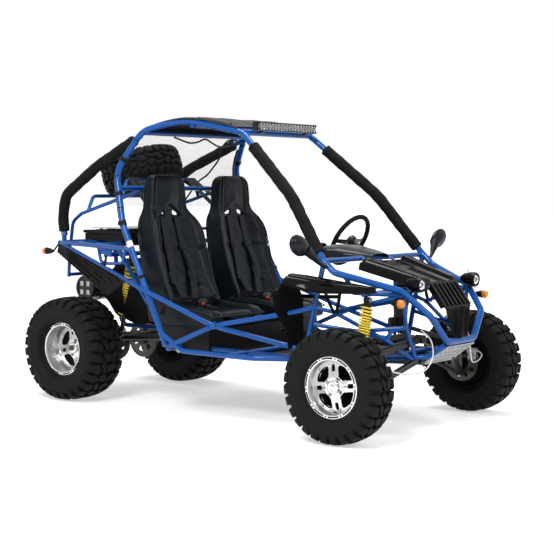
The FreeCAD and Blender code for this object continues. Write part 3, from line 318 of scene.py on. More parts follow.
finish("aluminium", (0.62, 0.62, 0.61), 0.18, metallic=1.0, grain=300, bump=0.02, patchy=0.04)
finish("satin_aluminium", (0.60, 0.60, 0.60), 0.38, metallic=1.0, grain=300, bump=0.03, patchy=0.06)
finish("cast_aluminium", (0.36, 0.36, 0.35), 0.45, metallic=0.85, grain=420, bump=0.25, patchy=0.15)
finish("rubber", (0.0062, 0.0070, 0.0070), 0.66, grain=350, bump=0.12, patchy=0.2,
       patch_scale=14, specular=0.12)
finish("steel", (0.30, 0.295, 0.28), 0.36, metallic=0.9, grain=380, bump=0.12, patchy=0.2)
finish("gold_zinc", (0.45, 0.30, 0.10), 0.36, metallic=1.0, grain=300, bump=0.08, patchy=0.2)
finish("chrome", (0.92, 0.92, 0.93), 0.06, metallic=1.0, bump=0.0, spread=0.02)
finish("spring_yellow", (0.92, 0.68, 0.03), 0.3, coat=0.4, grain=260, bump=0.03, patchy=0.04)
finish("amber", (0.95, 0.30, 0.01), 0.16, transmission=0.25, grain=200, bump=0.05, patchy=0.1)
finish("red_plastic", (0.55, 0.01, 0.01), 0.3, coat=0.3, grain=300, bump=0.03)
finish("lens_glass", (0.97, 0.98, 1.0), 0.04, transmission=1.0, ior=1.45, bump=0.0, spread=0.02, patchy=0.0)
finish("mesh_cloth", (0.03, 0.03, 0.032), 0.8, grain=900, bump=0.1, specular=0.1)
finish("clamp_blue", (0.02, 0.12, 0.42), 0.3, metallic=0.4, grain=300, bump=0.05)
finish("engine_black", (0.012, 0.012, 0.013), 0.5, grain=700, bump=0.3, specular=0.25)
finish("mirror_glass", (0.75, 0.78, 0.8), 0.03, metallic=1.0, bump=0.0, spread=0.01)
finish("white_band", (0.8, 0.8, 0.78), 0.35, grain=300, bump=0.03)
print(len(materials), "finishes")

# %% [markdown]
# ## Surfaces from numpy
# Almost everything here is a grid: a function of two parameters worked out for all points at
# once. The helpers below turn such grids into closed meshes. A grid can wrap round in either
# direction, and rows that shrink to a point close its ends.


# %% Grid helpers
def quads(rows, cols, wrap_rows=False, wrap_cols=False):
    """The four corner numbers of each cell in a rows x cols grid."""
    r = np.arange(rows if wrap_rows else rows - 1)[:, None]
    c = np.arange(cols if wrap_cols else cols - 1)[None, :]
    r2 = (r + 1) % rows
    c2 = (c + 1) % cols
    cells = np.stack([r * cols + c, r * cols + c2, r2 * cols + c2, r2 * cols + c], axis=-1)
    return cells.reshape(-1, 4)


def sheet(points, wrap_rows=False, wrap_cols=False):
    """A grid of points (rows, cols, 3) as vertices and quads."""
    rows, cols = points.shape[:2]
    return points.reshape(-1, 3), quads(rows, cols, wrap_rows, wrap_cols)


def sheets(points, wrap_rows=False, wrap_cols=False):
    """Many like grids (count, rows, cols, 3) as one set of vertices and quads."""
    count, rows, cols = points.shape[:3]
    cells = quads(rows, cols, wrap_rows, wrap_cols)
    cells = cells[None] + (np.arange(count) * rows * cols)[:, None, None]
    return points.reshape(-1, 3), cells.reshape(-1, 4)


def dress(obj, material, body, node=None):
    """Materials, body and, where it stands for a node, the node it replaces."""
    for name in [material] if isinstance(material, str) else material:
        obj.data.materials.append(materials[name])
    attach(obj, body)
    if node:
        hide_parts(*([node] if isinstance(node, str) else node))
    return obj


def piece(name, parts, material, body, node=None, smooth=35.0, merge=0.00002):
    """One object from (vertices, quads, material number) parts, merged, and sharp past smooth degrees."""
    verts = np.concatenate([p[0] for p in parts])
    starts = np.cumsum([0] + [len(p[0]) for p in parts[:-1]])
    faces = np.concatenate([p[1] + s for p, s in zip(parts, starts)])
    paint = np.concatenate([np.broadcast_to(p[2] if len(p) > 2 else 0, len(p[1])) for p in parts])
    mesh = bpy.data.meshes.new(name)
    mesh.vertices.add(len(verts))
    mesh.vertices.foreach_set("co", verts.astype(np.float32).ravel())
    mesh.loops.add(faces.size)
    mesh.loops.foreach_set("vertex_index", faces.astype(np.int32).ravel())
    mesh.polygons.add(len(faces))
    mesh.polygons.foreach_set("loop_start", (np.arange(len(faces)) * 4).astype(np.int32))
    mesh.polygons.foreach_set("material_index", paint.astype(np.int32))
    mesh.update(calc_edges=True)
    work = bmesh.new()
    work.from_mesh(mesh)
    bmesh.ops.remove_doubles(work, verts=work.verts, dist=merge)
    bmesh.ops.dissolve_degenerate(work, dist=merge / 2, edges=work.edges)
    bmesh.ops.recalc_face_normals(work, faces=work.faces)
    work.to_mesh(mesh)
    work.free()
    mesh.validate()
    mesh.polygons.foreach_set("use_smooth", np.ones(len(mesh.polygons), bool))
    mesh.set_sharp_from_angle(angle=math.radians(smooth))
    obj = bpy.data.objects.new(name, mesh)
    bpy.context.scene.collection.objects.link(obj)
    return dress(obj, material, body, node)


def distance_along(line):
    """How far each point of a line is from its start: the running sum of its steps."""
    return np.concatenate([[0], np.cumsum(np.linalg.norm(np.diff(line, axis=0), axis=1))])


def points_at(distances, run, line):
    """The line's points at the given distances, where run says how far its own points are."""
    return np.stack([np.interp(distances, run, line[:, k]) for k in range(line.shape[1])], axis=-1)


def curve_through(points, count):
    """A smooth line through the points: Catmull-Rom, sampled at count even steps of its parameter."""
    p = np.asarray(points, float)
    p = np.concatenate([2 * p[:1] - p[1:2], p, 2 * p[-1:] - p[-2:-1]])
    t = np.linspace(0, len(points) - 1, count)
    i = np.minimum(t.astype(int), len(points) - 2)
    f = (t - i)[:, None]
    a, b, c, d = p[i], p[i + 1], p[i + 2], p[i + 3]
    return 0.5 * (2 * b + (c - a) * f + (2 * a - 5 * b + 4 * c - d) * f**2 + (3 * b - a - 3 * c + d) * f**3)


def ring_frames(path, reference):
    """Two unit vectors across a path at each point, kept upright by a reference direction."""
    tangent = np.gradient(path, axis=0)
    tangent /= np.linalg.norm(tangent, axis=1, keepdims=True)
    side = np.cross(tangent, reference)
    side /= np.linalg.norm(side, axis=1, keepdims=True)
    return side, np.cross(side, tangent)


def rod(path, radius, sides=12, reference=(0.13, 0.21, 0.97), closed=True):
    """A round bar along a path: circle of the given radius (one or one a point) at each point."""
    path = np.asarray(path, float)
    radius = np.broadcast_to(radius, len(path)).astype(float)
    side, up = ring_frames(path, reference)
    a = np.linspace(0, 2 * math.pi, sides, endpoint=False)
    ring = np.cos(a)[None, :, None] * side[:, None] + np.sin(a)[None, :, None] * up[:, None]
    grid = path[:, None] + ring * radius[:, None, None]
    if closed:
        ends = [np.repeat(path[k][None, None], sides, axis=1) for k in (0, -1)]
        grid = np.concatenate([ends[0], grid, ends[1]])
    return sheet(grid, wrap_cols=True)


def lathe(profile, centre, axis, count=48, arc=2 * math.pi):
    """A profile of (distance along the axis, radius) turned about the axis through centre."""
    profile = np.asarray(profile, float)
    axis = np.asarray(axis, float) / np.linalg.norm(axis)
    across = np.cross(axis, (0.0, 0.0, 1.0) if abs(axis[2]) < 0.9 else (1.0, 0.0, 0.0))
    across /= np.linalg.norm(across)
    other = np.cross(axis, across)
    a = np.linspace(0, arc, count, endpoint=arc < 6.28)
    spoke = np.cos(a)[:, None] * across + np.sin(a)[:, None] * other
    grid = np.asarray(centre) + profile[:, 0, None, None] * axis + profile[:, 1, None, None] * spoke[None]
    return sheet(grid, wrap_cols=arc > 6.28)


def drum(low, high, radius, centre, axis, count=48):
    """A plain cylinder about an axis through centre, from low to high along it."""
    return lathe([(low, 0), (low, radius), (high, radius), (high, 0)], centre, axis, count)


def collar(low, high, inner, outer, centre, axis, count=48):
    """A band about an axis: it starts at the inner radius, rises to the outer one and falls back."""
    return lathe([(low, inner), (low, outer), (high, outer), (high, inner)], centre, axis, count)


def soft_block(centre, half, square=0.35, rows=12, cols=24, axes=None):
    """A rounded block: a superellipsoid, whose square number is 1 for a ball and near 0 for a box."""
    u = np.linspace(-math.pi / 2, math.pi / 2, rows)[:, None]
    v = np.linspace(0, 2 * math.pi, cols, endpoint=False)[None, :]

    def power(value):
        return np.sign(value) * np.abs(value) ** square

    grid = np.stack([power(np.cos(u)) * power(np.cos(v)), power(np.cos(u)) * power(np.sin(v)),
                     power(np.sin(u)) + 0 * v], axis=-1) * np.asarray(half, float)
    if axes is not None:
        grid = grid @ np.asarray(axes, float)
    return sheet(grid + np.asarray(centre, float), wrap_cols=True)


def flip(part):
    """The same part mirrored across the middle plane."""
    return (part[0] * np.array([1.0, -1.0, 1.0]), part[1][:, ::-1], *part[2:])


def moved(parts, matrix):
    """Parts carried by a matrix of three columns and a place: rows are X, Y, Z."""
    matrix = np.asarray(matrix, float)
    return [(p[0] @ matrix[:, :3].T + matrix[:, 3], *p[1:]) for p in parts]


def painted(part, number):
    """The same part in another of its piece's materials."""
    return part[0], part[1], number


def both(parts):
    """Parts and their mirror images."""
    return list(parts) + [flip(p) for p in parts]


def on_side(parts, out):
    """Parts drawn for the left side: as they are where out is 1, and mirrored where it is -1."""
    return parts if out > 0 else [flip(p) for p in parts]


def grown(outline, factor):
    """An outline made larger about its own middle."""
    middle = outline.mean(axis=0)
    return (outline - middle) * factor + middle


def bell(value, middle, width, power=2):
    """A bell curve: 1 at middle, and near 0 a few widths away."""
    return np.exp(-((value - middle) / width) ** power)


def triangles(obj):
    """How many triangles a piece has."""
    return sum(len(face.vertices) - 2 for face in obj.data.polygons)


def bent(points, bends, step=0.006):
    """A tube's centre line: straight runs joined by arcs of the given radius at each inner corner."""
    points = [np.asarray(p, float) for p in points]
    run = [points[0]]
    for corner, after, radius in zip(points[1:-1], points[2:], bends):
        back, on = run[-1] - corner, after - corner
        back, on = back / np.linalg.norm(back), on / np.linalg.norm(on)
        half = math.acos(np.clip(back @ on, -1, 1)) / 2
        across = (back + on) / np.linalg.norm(back + on)
        centre = corner + across * radius / math.sin(half)
        start = corner + back * radius / math.tan(half)
        a = np.linspace(-(math.pi / 2 - half), math.pi / 2 - half,
                        max(4, int(radius * (math.pi - 2 * half) / step)))
        flat = (back - on) / np.linalg.norm(back - on)
        run.extend(centre - radius * (np.cos(k) * across - np.sin(-k) * flat) for k in a)
    run.append(points[-1])
    run = np.array(run)
    length = distance_along(run)
    return points_at(np.linspace(0, length[-1], max(3, int(length[-1] / step))), length, run)


def ribbon(path, across, width, thick):
    """A flat strap: a rounded rectangle laid along a path, with its width held to one direction."""
    path = np.asarray(path, float)
    tangent = np.gradient(path, axis=0)
    tangent /= np.linalg.norm(tangent, axis=1, keepdims=True)
    across = np.broadcast_to(np.asarray(across, float), path.shape)
    across = across - tangent * (across * tangent).sum(axis=1, keepdims=True)
    across = across / np.linalg.norm(across, axis=1, keepdims=True)
    up = np.cross(tangent, across)
    w, t = width / 2, thick / 2
    ring = np.array([(-w, -t * 0.3), (-w + t * 0.6, -t), (0, -t * 1.0), (w - t * 0.6, -t),
                     (w, -t * 0.3), (w, t * 0.3), (w - t * 0.6, t), (0, t), (-w + t * 0.6, t),
                     (-w, t * 0.3)])
    grid = path[:, None] + across[:, None] * ring[None, :, :1] + up[:, None] * ring[None, :, 1:]
    ends = [np.repeat(path[k][None, None], len(ring), axis=1) for k in (0, -1)]
    return sheet(np.concatenate([ends[0], grid, ends[1]]), wrap_cols=True)


def loft(stations, rows, cols):
    """Closed sections smoothed both ways: splines run round each ring of points and along the stations."""
    stations = np.asarray(stations, float)
    count, points = stations.shape[:2]
    ring = np.concatenate([stations[:, -1:], stations, stations[:, :2]], axis=1)
    t = np.linspace(0, points, cols, endpoint=False)
    i = t.astype(int)
    f = (t - i)[None, :, None]
    a, b, c, d = (ring[:, i + k] for k in range(4))
    fine = 0.5 * (2 * b + (c - a) * f + (2 * a - 5 * b + 4 * c - d) * f**2 + (3 * b - a - 3 * c + d) * f**3)
    return curve_through(fine.reshape(count, -1), rows).reshape(rows, cols, 3)


def slab(grid, thick):
    """A curved sheet with a wall: the grid, a copy pushed back along its normals, and a rim between."""
    rows, cols = grid.shape[:2]
    normal = np.cross(np.gradient(grid, axis=0), np.gradient(grid, axis=1))
    normal /= np.maximum(np.linalg.norm(normal, axis=2, keepdims=True), 1e-12)
    back = grid - normal * thick
    count = rows * cols
    number = np.arange(count).reshape(rows, cols)
    edge = np.concatenate([number[0, :-1], number[:-1, -1], number[-1, :0:-1], number[:0:-1, 0]])
    after = np.roll(edge, -1)
    rim = np.stack([edge, after, after + count, edge + count], axis=-1)
    cells = quads(rows, cols)
    faces = np.concatenate([cells, cells[:, ::-1] + count, rim[:, ::-1]])
    return np.concatenate([grid.reshape(-1, 3), back.reshape(-1, 3)]), faces


def capped(grid):
    """A tube of rings closed at both ends by a point in the middle of its first and last ring."""
    ends = [np.repeat(grid[k].mean(axis=0)[None, None], grid.shape[1], axis=1) for k in (0, -1)]
    return sheet(np.concatenate([ends[0], grid, ends[1]]), wrap_cols=True)


print("grid helpers ready")

# %% [markdown]
# ## Tyres
# A mud tyre is a smooth carcass with separate rubber blocks moulded on to it. The carcass is a
# profile turned about the axle. Each block starts as a flat outline in two coordinates: how far
# round the tyre and how far across it. Two curves, one for the block tops and one for their feet,
# bend that flat pattern over the crown and down the shoulders, so one set of outlines serves both
# sizes of tyre. The pattern is mirrored with half a step of offset, as real treads are, to keep
# the tyre from humming.

# %% Tyres
TREAD_STEPS = 14
ACROSS_KNOTS = (0.0, 0.25, 0.5, 0.7, 0.85, 0.93, 1.0, 1.15, 1.3)
TOP_SIDE = (0.0, 0.24, 0.47, 0.66, 0.82, 0.91, 0.968, 1.0, 0.996)
TOP_DROP = (0.0, 0.6, 2.2, 5.0, 10.0, 17.0, 30.0, 50.0, 68.0)
FOOT_SIDE = (0.0, 0.235, 0.455, 0.63, 0.77, 0.85, 0.925, 0.978, 0.99)
FOOT_DROP = (17.0, 17.6, 19.0, 22.0, 27.0, 32.0, 40.0, 54.0, 70.0)
BLOCKS = [
    [(0.03, 0.50), (0.26, 0.42), (0.41, 0.50), (0.47, 0.70), (0.45, 1.14), (0.12, 1.14), (0.10, 0.74)],
    [(0.56, 0.62), (0.74, 0.56), (0.93, 0.64), (0.95, 1.02), (0.62, 1.02), (0.60, 0.78)],
    [(0.03, 0.05), (0.27, 0.05), (0.47, 0.22), (0.52, 0.42), (0.38, 0.40), (0.26, 0.25), (0.07, 0.17)],
    [(0.57, 0.06), (0.83, 0.05), (0.98, 0.20), (0.92, 0.42), (0.78, 0.47), (0.66, 0.33)],
]


def resampled(outline, count):
    """A closed outline with count points evenly spaced along it."""
    ring = np.array(outline + outline[:1], float)
    run = distance_along(ring)
    return points_at(np.linspace(0, run[-1], count, endpoint=False), run, ring)


def tread(radius, half, points=22):
    """Every tread block at once, in the wheel's own frame with Y along the axle.

    A point's angle is its step round the tyre. Its place across picks a side distance and a radius
    from the top and foot curves, mixed by how high up the block the ring is.
    """
    shapes = []
    for outline in BLOCKS:
        ring = resampled(outline, points)
        shapes += [ring, ring * (1, -1) + (0.5, 0)]
    shapes = np.array(shapes)
    middle = shapes.mean(axis=1, keepdims=True)
    rise = np.array([-0.15, 0.5, 0.86, 0.97, 1.0, 1.0, 1.0])
    spread = np.array([1.07, 1.02, 1.0, 0.96, 0.90, 0.45, 0.0])
    rings = middle[:, None] + (shapes - middle)[:, None] * spread[None, :, None, None]
    step = rings[..., 0]
    across = rings[..., 1] + 0.09 * np.sin(2 * math.pi * step) * np.clip(1 - rings[..., 1] ** 2, 0, 1)
    w = np.abs(across)
    high = rise[None, :, None]
    top_y, foot_y = np.interp(w, ACROSS_KNOTS, TOP_SIDE), np.interp(w, ACROSS_KNOTS, FOOT_SIDE)
    top_r, foot_r = np.interp(w, ACROSS_KNOTS, TOP_DROP), np.interp(w, ACROSS_KNOTS, FOOT_DROP)
    side = (foot_y + (top_y - foot_y) * high) * half * np.sign(across)
    r = radius - (foot_r + (top_r - foot_r) * high) * 0.001
    angle = (step[None] + np.arange(TREAD_STEPS)[:, None, None, None]) * 2 * math.pi / TREAD_STEPS
    side, r = np.broadcast_to(side, angle.shape), np.broadcast_to(r, angle.shape)
    grid = np.stack([r * np.cos(angle), side, r * np.sin(angle)], axis=-1)
    return sheets(grid.reshape(-1, *grid.shape[2:]), wrap_cols=True)


def tyre_parts(radius, half, bead, lip, well):
    """Carcass and tread in the wheel's own frame; bead is half the width between the rim's lips."""
    crown = [(FOOT_SIDE[k] * half, radius - FOOT_DROP[k] * 0.001) for k in range(9)]
    wall = [(half * 0.985, radius - 0.080), (half * 0.962, lip + (radius - lip) * 0.28),
            (half * 0.972, lip + 0.023), (half * 0.93, lip + 0.019), (half * 0.88, lip + 0.010),
            (bead + 0.013, lip + 0.0045), (bead + 0.0105, lip + 0.001), (bead + 0.001, lip + 0.0005),
            (bead, well + 0.0006)]
    outer = np.array(crown + wall)
    inner = np.array([(bead - 0.010, well + 0.0006), (bead - 0.009, lip + 0.004),
                      (half * 0.86, lip + 0.030), (half * 0.88, radius - 0.075),
                      (half * 0.6, radius - 0.038), (0.0, radius - 0.030)])
    side = np.concatenate([outer, inner])
    fine = points_at(np.linspace(0, len(side) - 1, 70), np.arange(len(side)), side)
    loop = np.concatenate([fine, (fine * (-1, 1))[::-1][1:-1]])
    verts, faces = lathe(loop, (0, 0, 0), (0, 1, 0), count=112)
    closing = quads(len(loop), 112, wrap_rows=True, wrap_cols=True)
    return [(verts, closing), tread(radius, half)]


# %% [markdown]
# ## Wheels
# The wheels are cast aluminium with a polished lip, a deep dish, four twin spokes and four big
# windows. The trick for the spokes is to treat each half of a twin spoke as a tube that runs from
# the hub to the lip and whose cross-section changes on the way. Where the window is, the tube is
# narrow. Where there is none, it is a full eighth of the circle, and the tubes close up into solid
# rings without any cutting. Rounded windows come from a superellipse in radius.

# %% Wheels
SPOKES = 4


def bulge(value, low, high, power=4.0):
    """A rounded bump: 1 in the middle of low..high, falling to 0 at both ends as a superellipse."""
    t = np.clip(np.abs((value - (low + high) / 2) / ((high - low) / 2)), 0, 1)
    return (1 - t**power) ** (1 / power)


def spokes(face, reach, nave):
    """All half spokes of a wheel: rows follow the radius, columns go round each tube's section."""
    r = np.concatenate([np.linspace(nave, 0.052, 4),
                        0.053 + 0.053 * (1 - np.cos(np.linspace(0.02, math.pi - 0.02, 34))) / 2,
                        np.linspace(0.107, reach, 4)])
    eighth = math.pi / SPOKES
    window = 0.70 * bulge(r, 0.053, 0.106, 3.6) * (0.55 + 0.45 * (r - 0.053) / 0.053) * eighth
    slot = 0.0085 * bulge(r, 0.071, 0.103, 5.0) / r
    outer, inner = eighth - window, slot
    top = face + 0.012 * np.clip((0.100 - r) / 0.055, 0, 1) ** 1.5 - 0.003 * np.clip((r - 0.1) / 0.02, 0, 1)
    across = np.concatenate([np.linspace(0, 1, 11), [1.0, 0.5, 0.0]])
    drop = np.concatenate([0.0035 * np.abs(np.linspace(-1, 1, 11)) ** 9, [0.016, 0.017, 0.016]])
    angle = inner[:, None] + (outer - inner)[:, None] * across[None]
    height = top[:, None] - drop[None]
    radius = np.broadcast_to(r[:, None], angle.shape)
    half = np.stack([radius * np.sin(angle), height, radius * np.cos(angle)], axis=-1)
    pair = np.stack([half, half * (-1, 1, 1)])
    turn = np.arange(SPOKES) * 2 * math.pi / SPOKES
    c, s = np.cos(turn), np.sin(turn)
    x = pair[None, ..., 0] * c[:, None, None, None] - pair[None, ..., 2] * s[:, None, None, None]
    z = pair[None, ..., 0] * s[:, None, None, None] + pair[None, ..., 2] * c[:, None, None, None]
    grid = np.stack([x, np.broadcast_to(pair[None, ..., 1], x.shape), z], axis=-1)
    grid = grid.reshape(-1, *grid.shape[2:])
    ends = [np.repeat(grid[:, k:k + 1].mean(axis=2, keepdims=True), grid.shape[2], axis=2) for k in (0, -1)]
    return sheets(np.concatenate([ends[0], grid, ends[1]], axis=1), wrap_cols=True)


def lip_ring(seat, low, high):
    """The polished lip with ten sunk slots: a polar grid whose depth drops inside each slot."""
    count = 480
    a = np.linspace(0, 2 * math.pi, count, endpoint=False)
    t = np.array([0.0, 0.12, 0.24, 0.31, 0.35, 0.65, 0.69, 0.76, 0.88, 1.0])
    wave = (a * 10 / (2 * math.pi)) % 1.0
    inside = ((wave > 0.16) & (wave < 0.84))[None] & ((t > 0.33) & (t < 0.67))[:, None]
    r = low + (high - low) * t
    depth = seat - 0.0018 * np.abs(2 * t - 1)[:, None] ** 6 - 0.0035 * inside
    grid = np.stack([r[:, None] * np.cos(a), np.broadcast_to(depth, inside.shape),
                     r[:, None] * np.sin(a)], axis=-1)
    verts, faces = sheet(grid, wrap_cols=True)
    dark = inside.ravel()[faces].any(axis=1)
    return verts, faces, dark.astype(int)


def ring_of(make, count, radius, offset=0.0):
    """Copies of a small part, which make() builds at (x, z), set evenly round the axle."""
    a = np.arange(count) * 2 * math.pi / count + offset
    return [p for k in range(count) for p in make(radius * math.cos(a[k]), radius * math.sin(a[k]))]


def bolt(centre, axis, radius=0.005, height=0.004, sides=6, washer=True, shade=0):
    """A hexagon head on a washer, with a rounded top."""
    parts = [lathe([(0, 0), (0, radius), (height * 0.85, radius), (height, radius * 0.86),
                    (height * 1.05, 0)], centre, axis, count=sides)]
    if washer:
        parts.append(lathe([(-0.001, 0), (-0.001, radius * 1.5), (0.0008, radius * 1.5),
                            (0.001, radius * 1.4), (0.001, 0)], centre, axis, count=20))
    return [painted(p, shade) for p in parts]


def rim_parts(bead, lip, well, face, bore, turn):
    """A whole wheel in its own frame: materials are 0 polished, 1 black, 2 cast, 3 satin."""
    seat = bead + 0.0095
    barrel = [(seat - 0.001, lip - 0.019), (seat - 0.006, lip - 0.0215), (face + 0.012, well - 0.0085),
              (face - 0.004, well - 0.009)]
    behind = [(face - 0.004, well - 0.009), (-bead + 0.01, well - 0.009), (-seat + 0.002, lip - 0.016),
              (-seat, lip - 0.012), (-seat, lip - 0.002), (-seat + 0.002, lip),
              (-bead - 0.0012, lip - 0.0005), (-bead, lip - 0.006), (-bead, well), (-bead * 0.5, well),
              (-bead * 0.4, well - 0.004), (bead * 0.4, well - 0.004), (bead * 0.5, well), (bead, well),
              (bead, lip - 0.006), (bead + 0.0012, lip - 0.0005), (seat - 0.003, lip + 0.0006),
              (seat - 0.0018, lip)]
    parts = [painted(lathe(barrel, (0, 0, 0), (0, 1, 0), 96), 3),
             painted(lathe(behind, (0, 0, 0), (0, 1, 0), 96), 1), lip_ring(seat, lip - 0.019, lip),
             spokes(face, well - 0.0085, bore + 0.004)]
    hub = face + 0.012
    parts.append(lathe([(hub - 0.030, 0.0), (hub - 0.030, 0.046), (hub - 0.004, 0.046),
                        (hub + 0.0005, 0.044), (hub + 0.001, 0.036), (hub - 0.002, 0.034),
                        (hub - 0.002, 0.031), (hub + 0.010, 0.030), (hub + 0.0125, 0.027),
                        (hub + 0.0135, 0.018), (hub + 0.0125, 0.016), (hub + 0.0135, 0.014),
                        (hub + 0.0145, 0.0)], (0, 0, 0), (0, 1, 0), 48))

    def nut(x, z):
        """A wheel nut on its black disc."""
        disc = painted(drum(0, 0.0012, 0.0105, (x, hub - 0.0012, z), (0, 1, 0), 24), 1)
        return [disc] + bolt((x, hub - 0.001, z), (0, 1, 0), 0.0075, 0.010, shade=2)

    def lip_bolt(x, z):
        """A small bolt in the lip."""
        return bolt((x, seat - 0.0004, z), (0, 1, 0), 0.0036, 0.003, washer=False, shade=1)

    def face_bolt(x, z):
        """A small bolt in the face, outside the hub."""
        return bolt((x, face + 0.0135, z), (0, 1, 0), 0.003, 0.0018, washer=False, shade=2)

    parts += ring_of(nut, 4, 0.0385, turn + math.pi / 4)
    parts += ring_of(lip_bolt, 10, lip - 0.0095)
    parts += ring_of(face_bolt, 4, 0.0585, math.pi / 2)
    parts.append(painted(rod([(0.0, face + 0.01, -well + 0.012),
                              (0.0, face + 0.03, -well + 0.016)], 0.0035), 1))
    c, s = math.cos(turn), math.sin(turn)
    return moved(parts, [(c, 0, -s, 0), (0, 1, 0, 0), (s, 0, c, 0)])


FRONT = dict(radius=0.2667, half=0.089)
REAR = dict(radius=0.2794, half=0.127)
LIP, WELL = 0.1445, 0.1272
wheels = []
for side, out in (("left", 1), ("right", -1)):
    for end, size, hub_place, face, body in (("front", FRONT, FRONT_HUB, 0.024, side + "_front_wheel"),
                                             ("rear", REAR, REAR_HUB, -0.012, "rear_axle")):
        bead = size["half"] * 0.62
        spin = math.radians(8 if end == "front" else 14)
        frame_of = [(1, 0, 0, hub_place[0]), (0, out, 0, out * hub_place[1]), (0, 0, 1, hub_place[2])]
        shape = moved(tyre_parts(bead=bead, lip=LIP, well=WELL, **size), frame_of)
        wheels.append(piece(f"{side}_{end}_tyre_rubber", shape, "rubber", body,
                            f"{side}_{end}_tyre", smooth=40))
        shape = moved(rim_parts(bead, LIP, WELL, face, 0.013, spin), frame_of)
        wheels.append(piece(f"{side}_{end}_wheel", shape,
                            ["aluminium", "wheel_black", "cast_aluminium", "satin_aluminium"],
                            body, f"{side}_{end}_rim"))
print("tyre triangles", triangles(wheels[0]))
print("wheel triangles", triangles(wheels[1]))

# %% [markdown]
# ## Seats
# A bucket seat is vinyl sewn over foam. Its back is built here as a loft: at each height there is
# a closed section with a flat middle panel, a sewn groove, a bolster that rises towards the side,
# a piped edge and a plain rear face. Splines run round the sections and up through them. The
# shoulders narrow into the head part, and two slanted slots let the harness through under a
# folded seam. Foam is never quite even, so a few slow waves and pulled creases are added last.

# %% Seat back
SEAT_Y = 0.277
SEAT_LEVELS = np.array([0.463, 0.56, 0.66, 0.76, 0.86, 0.93, 0.985, 1.025, 1.06, 1.12, 1.18, 1.208, 1.221])
REAR_FACE = np.array([0.558, 0.541, 0.522, 0.504, 0.486, 0.474, 0.464, 0.457, 0.454, 0.451, 0.449,
                      0.456, 0.468])
MIDDLE_FACE = np.array([0.690, 0.655, 0.620, 0.588, 0.556, 0.538, 0.524, 0.514, 0.512, 0.516, 0.515,
                        0.508, 0.498])
BOLSTER_FACE = np.array([0.742, 0.716, 0.672, 0.634, 0.606, 0.588, 0.562, 0.532, 0.518, 0.517,
                         0.514, 0.505, 0.495])
HALF_REAR = np.array([0.203, 0.207, 0.208, 0.208, 0.208, 0.203, 0.187, 0.158, 0.143, 0.137, 0.127,
                      0.111, 0.085])
HALF_FRONT = np.array([0.186, 0.190, 0.192, 0.196, 0.198, 0.193, 0.173, 0.147, 0.133, 0.128, 0.119,
                       0.103, 0.077])
HALF_PANEL = np.array([0.118, 0.118, 0.114, 0.110, 0.106, 0.100, 0.094, 0.092, 0.092, 0.090, 0.084,
                       0.073, 0.055])


def spline_at(z, values):
    """A value that runs smoothly through the seat's levels, found by its height."""
    fine = curve_through(np.stack([SEAT_LEVELS, values], axis=-1), 400)
    return np.interp(z, fine[:, 0], fine[:, 1])


def back_sections():
    """The closed section at each level: front from the middle out, side and rear, then mirrored."""
    rear, mid, edge = REAR_FACE, MIDDLE_FACE, BOLSTER_FACE
    wide, front, panel = HALF_REAR, HALF_FRONT, HALF_PANEL
    rise = edge - mid
    half = [(mid + 0.002, 0 * mid), (mid + 0.001, panel * 0.5), (mid - 0.001, panel * 0.88),
            (mid - 0.007, panel), (mid + 0.001 + rise * 0.14, panel + (front - panel) * 0.16),
            (mid + rise * 0.66 + 0.003, panel + (front - panel) * 0.48), (edge - 0.003, front - 0.018),
            (edge, front - 0.005), (edge - 0.006, front + 0.004),
            (rear + (edge - rear) * 0.62, front + (wide - front) * 0.55),
            (rear + (edge - rear) * 0.28, wide), (rear + 0.010, wide - 0.003), (rear, wide - 0.016),
            (rear - 0.001, wide * 0.5), (rear - 0.002, 0 * rear)]
    half = np.array([np.stack([x, y], axis=-1) for x, y in half])
    full = np.concatenate([half, (half * (1, -1))[::-1][1:-1]])
    rings = full.transpose(1, 0, 2)
    heights = np.broadcast_to(SEAT_LEVELS[:, None], rings.shape[:2])
    return np.stack([rings[..., 0], rings[..., 1], heights], axis=-1)


def sewn(points, seed):
    """Pulled seams, a fold over the harness slots and slow foam waves, pushed along X."""
    x, y, z = points[..., 0], points[..., 1], points[..., 2]
    front = np.clip((x - spline_at(z, REAR_FACE) - 0.03) / 0.02, 0, 1)
    middle = bell(y, 0.0, 0.13, 6)
    seam = -0.0055 * bell(z, 0.835, 0.006) - 0.0045 * bell(z, 0.640, 0.006) * middle
    fold = 1.072 - np.abs(y) * 0.62
    step_up = 1 / (1 + np.exp(-(z - fold) / 0.003))
    hood = 0.012 * step_up * bell(z, fold, 0.05) * (z > fold - 0.02) * middle
    pipes = -0.003 * bell(np.abs(y), 0.052, 0.004) * (z < 1.02) * (z > 0.6)
    wave = 0.0022 * np.sin(17 * z + 5 * y + seed) * np.sin(23 * y + seed * 2)
    wave += 0.0012 * np.sin(61 * z + 31 * y + seed)
    pulled = np.sin(150 * (z + 0.5 * np.abs(y)) + seed)
    crease = 0.0016 * pulled * bell(z, 0.70, 0.07) * bell(np.abs(y), 0.13, 0.03)
    out = points.copy()
    out[..., 0] = x + front * (seam + hood + pipes + wave + crease)
    return out


def front_at(y, z):
    """How far forward the seat's front surface is at a place across and a height."""
    panel, front = spline_at(z, HALF_PANEL), spline_at(z, HALF_FRONT)
    mid, edge = spline_at(z, MIDDLE_FACE), spline_at(z, BOLSTER_FACE)
    t = np.clip((np.abs(y) - panel) / (front - panel), 0, 1)
    return mid + (edge - mid) * t ** 1.3


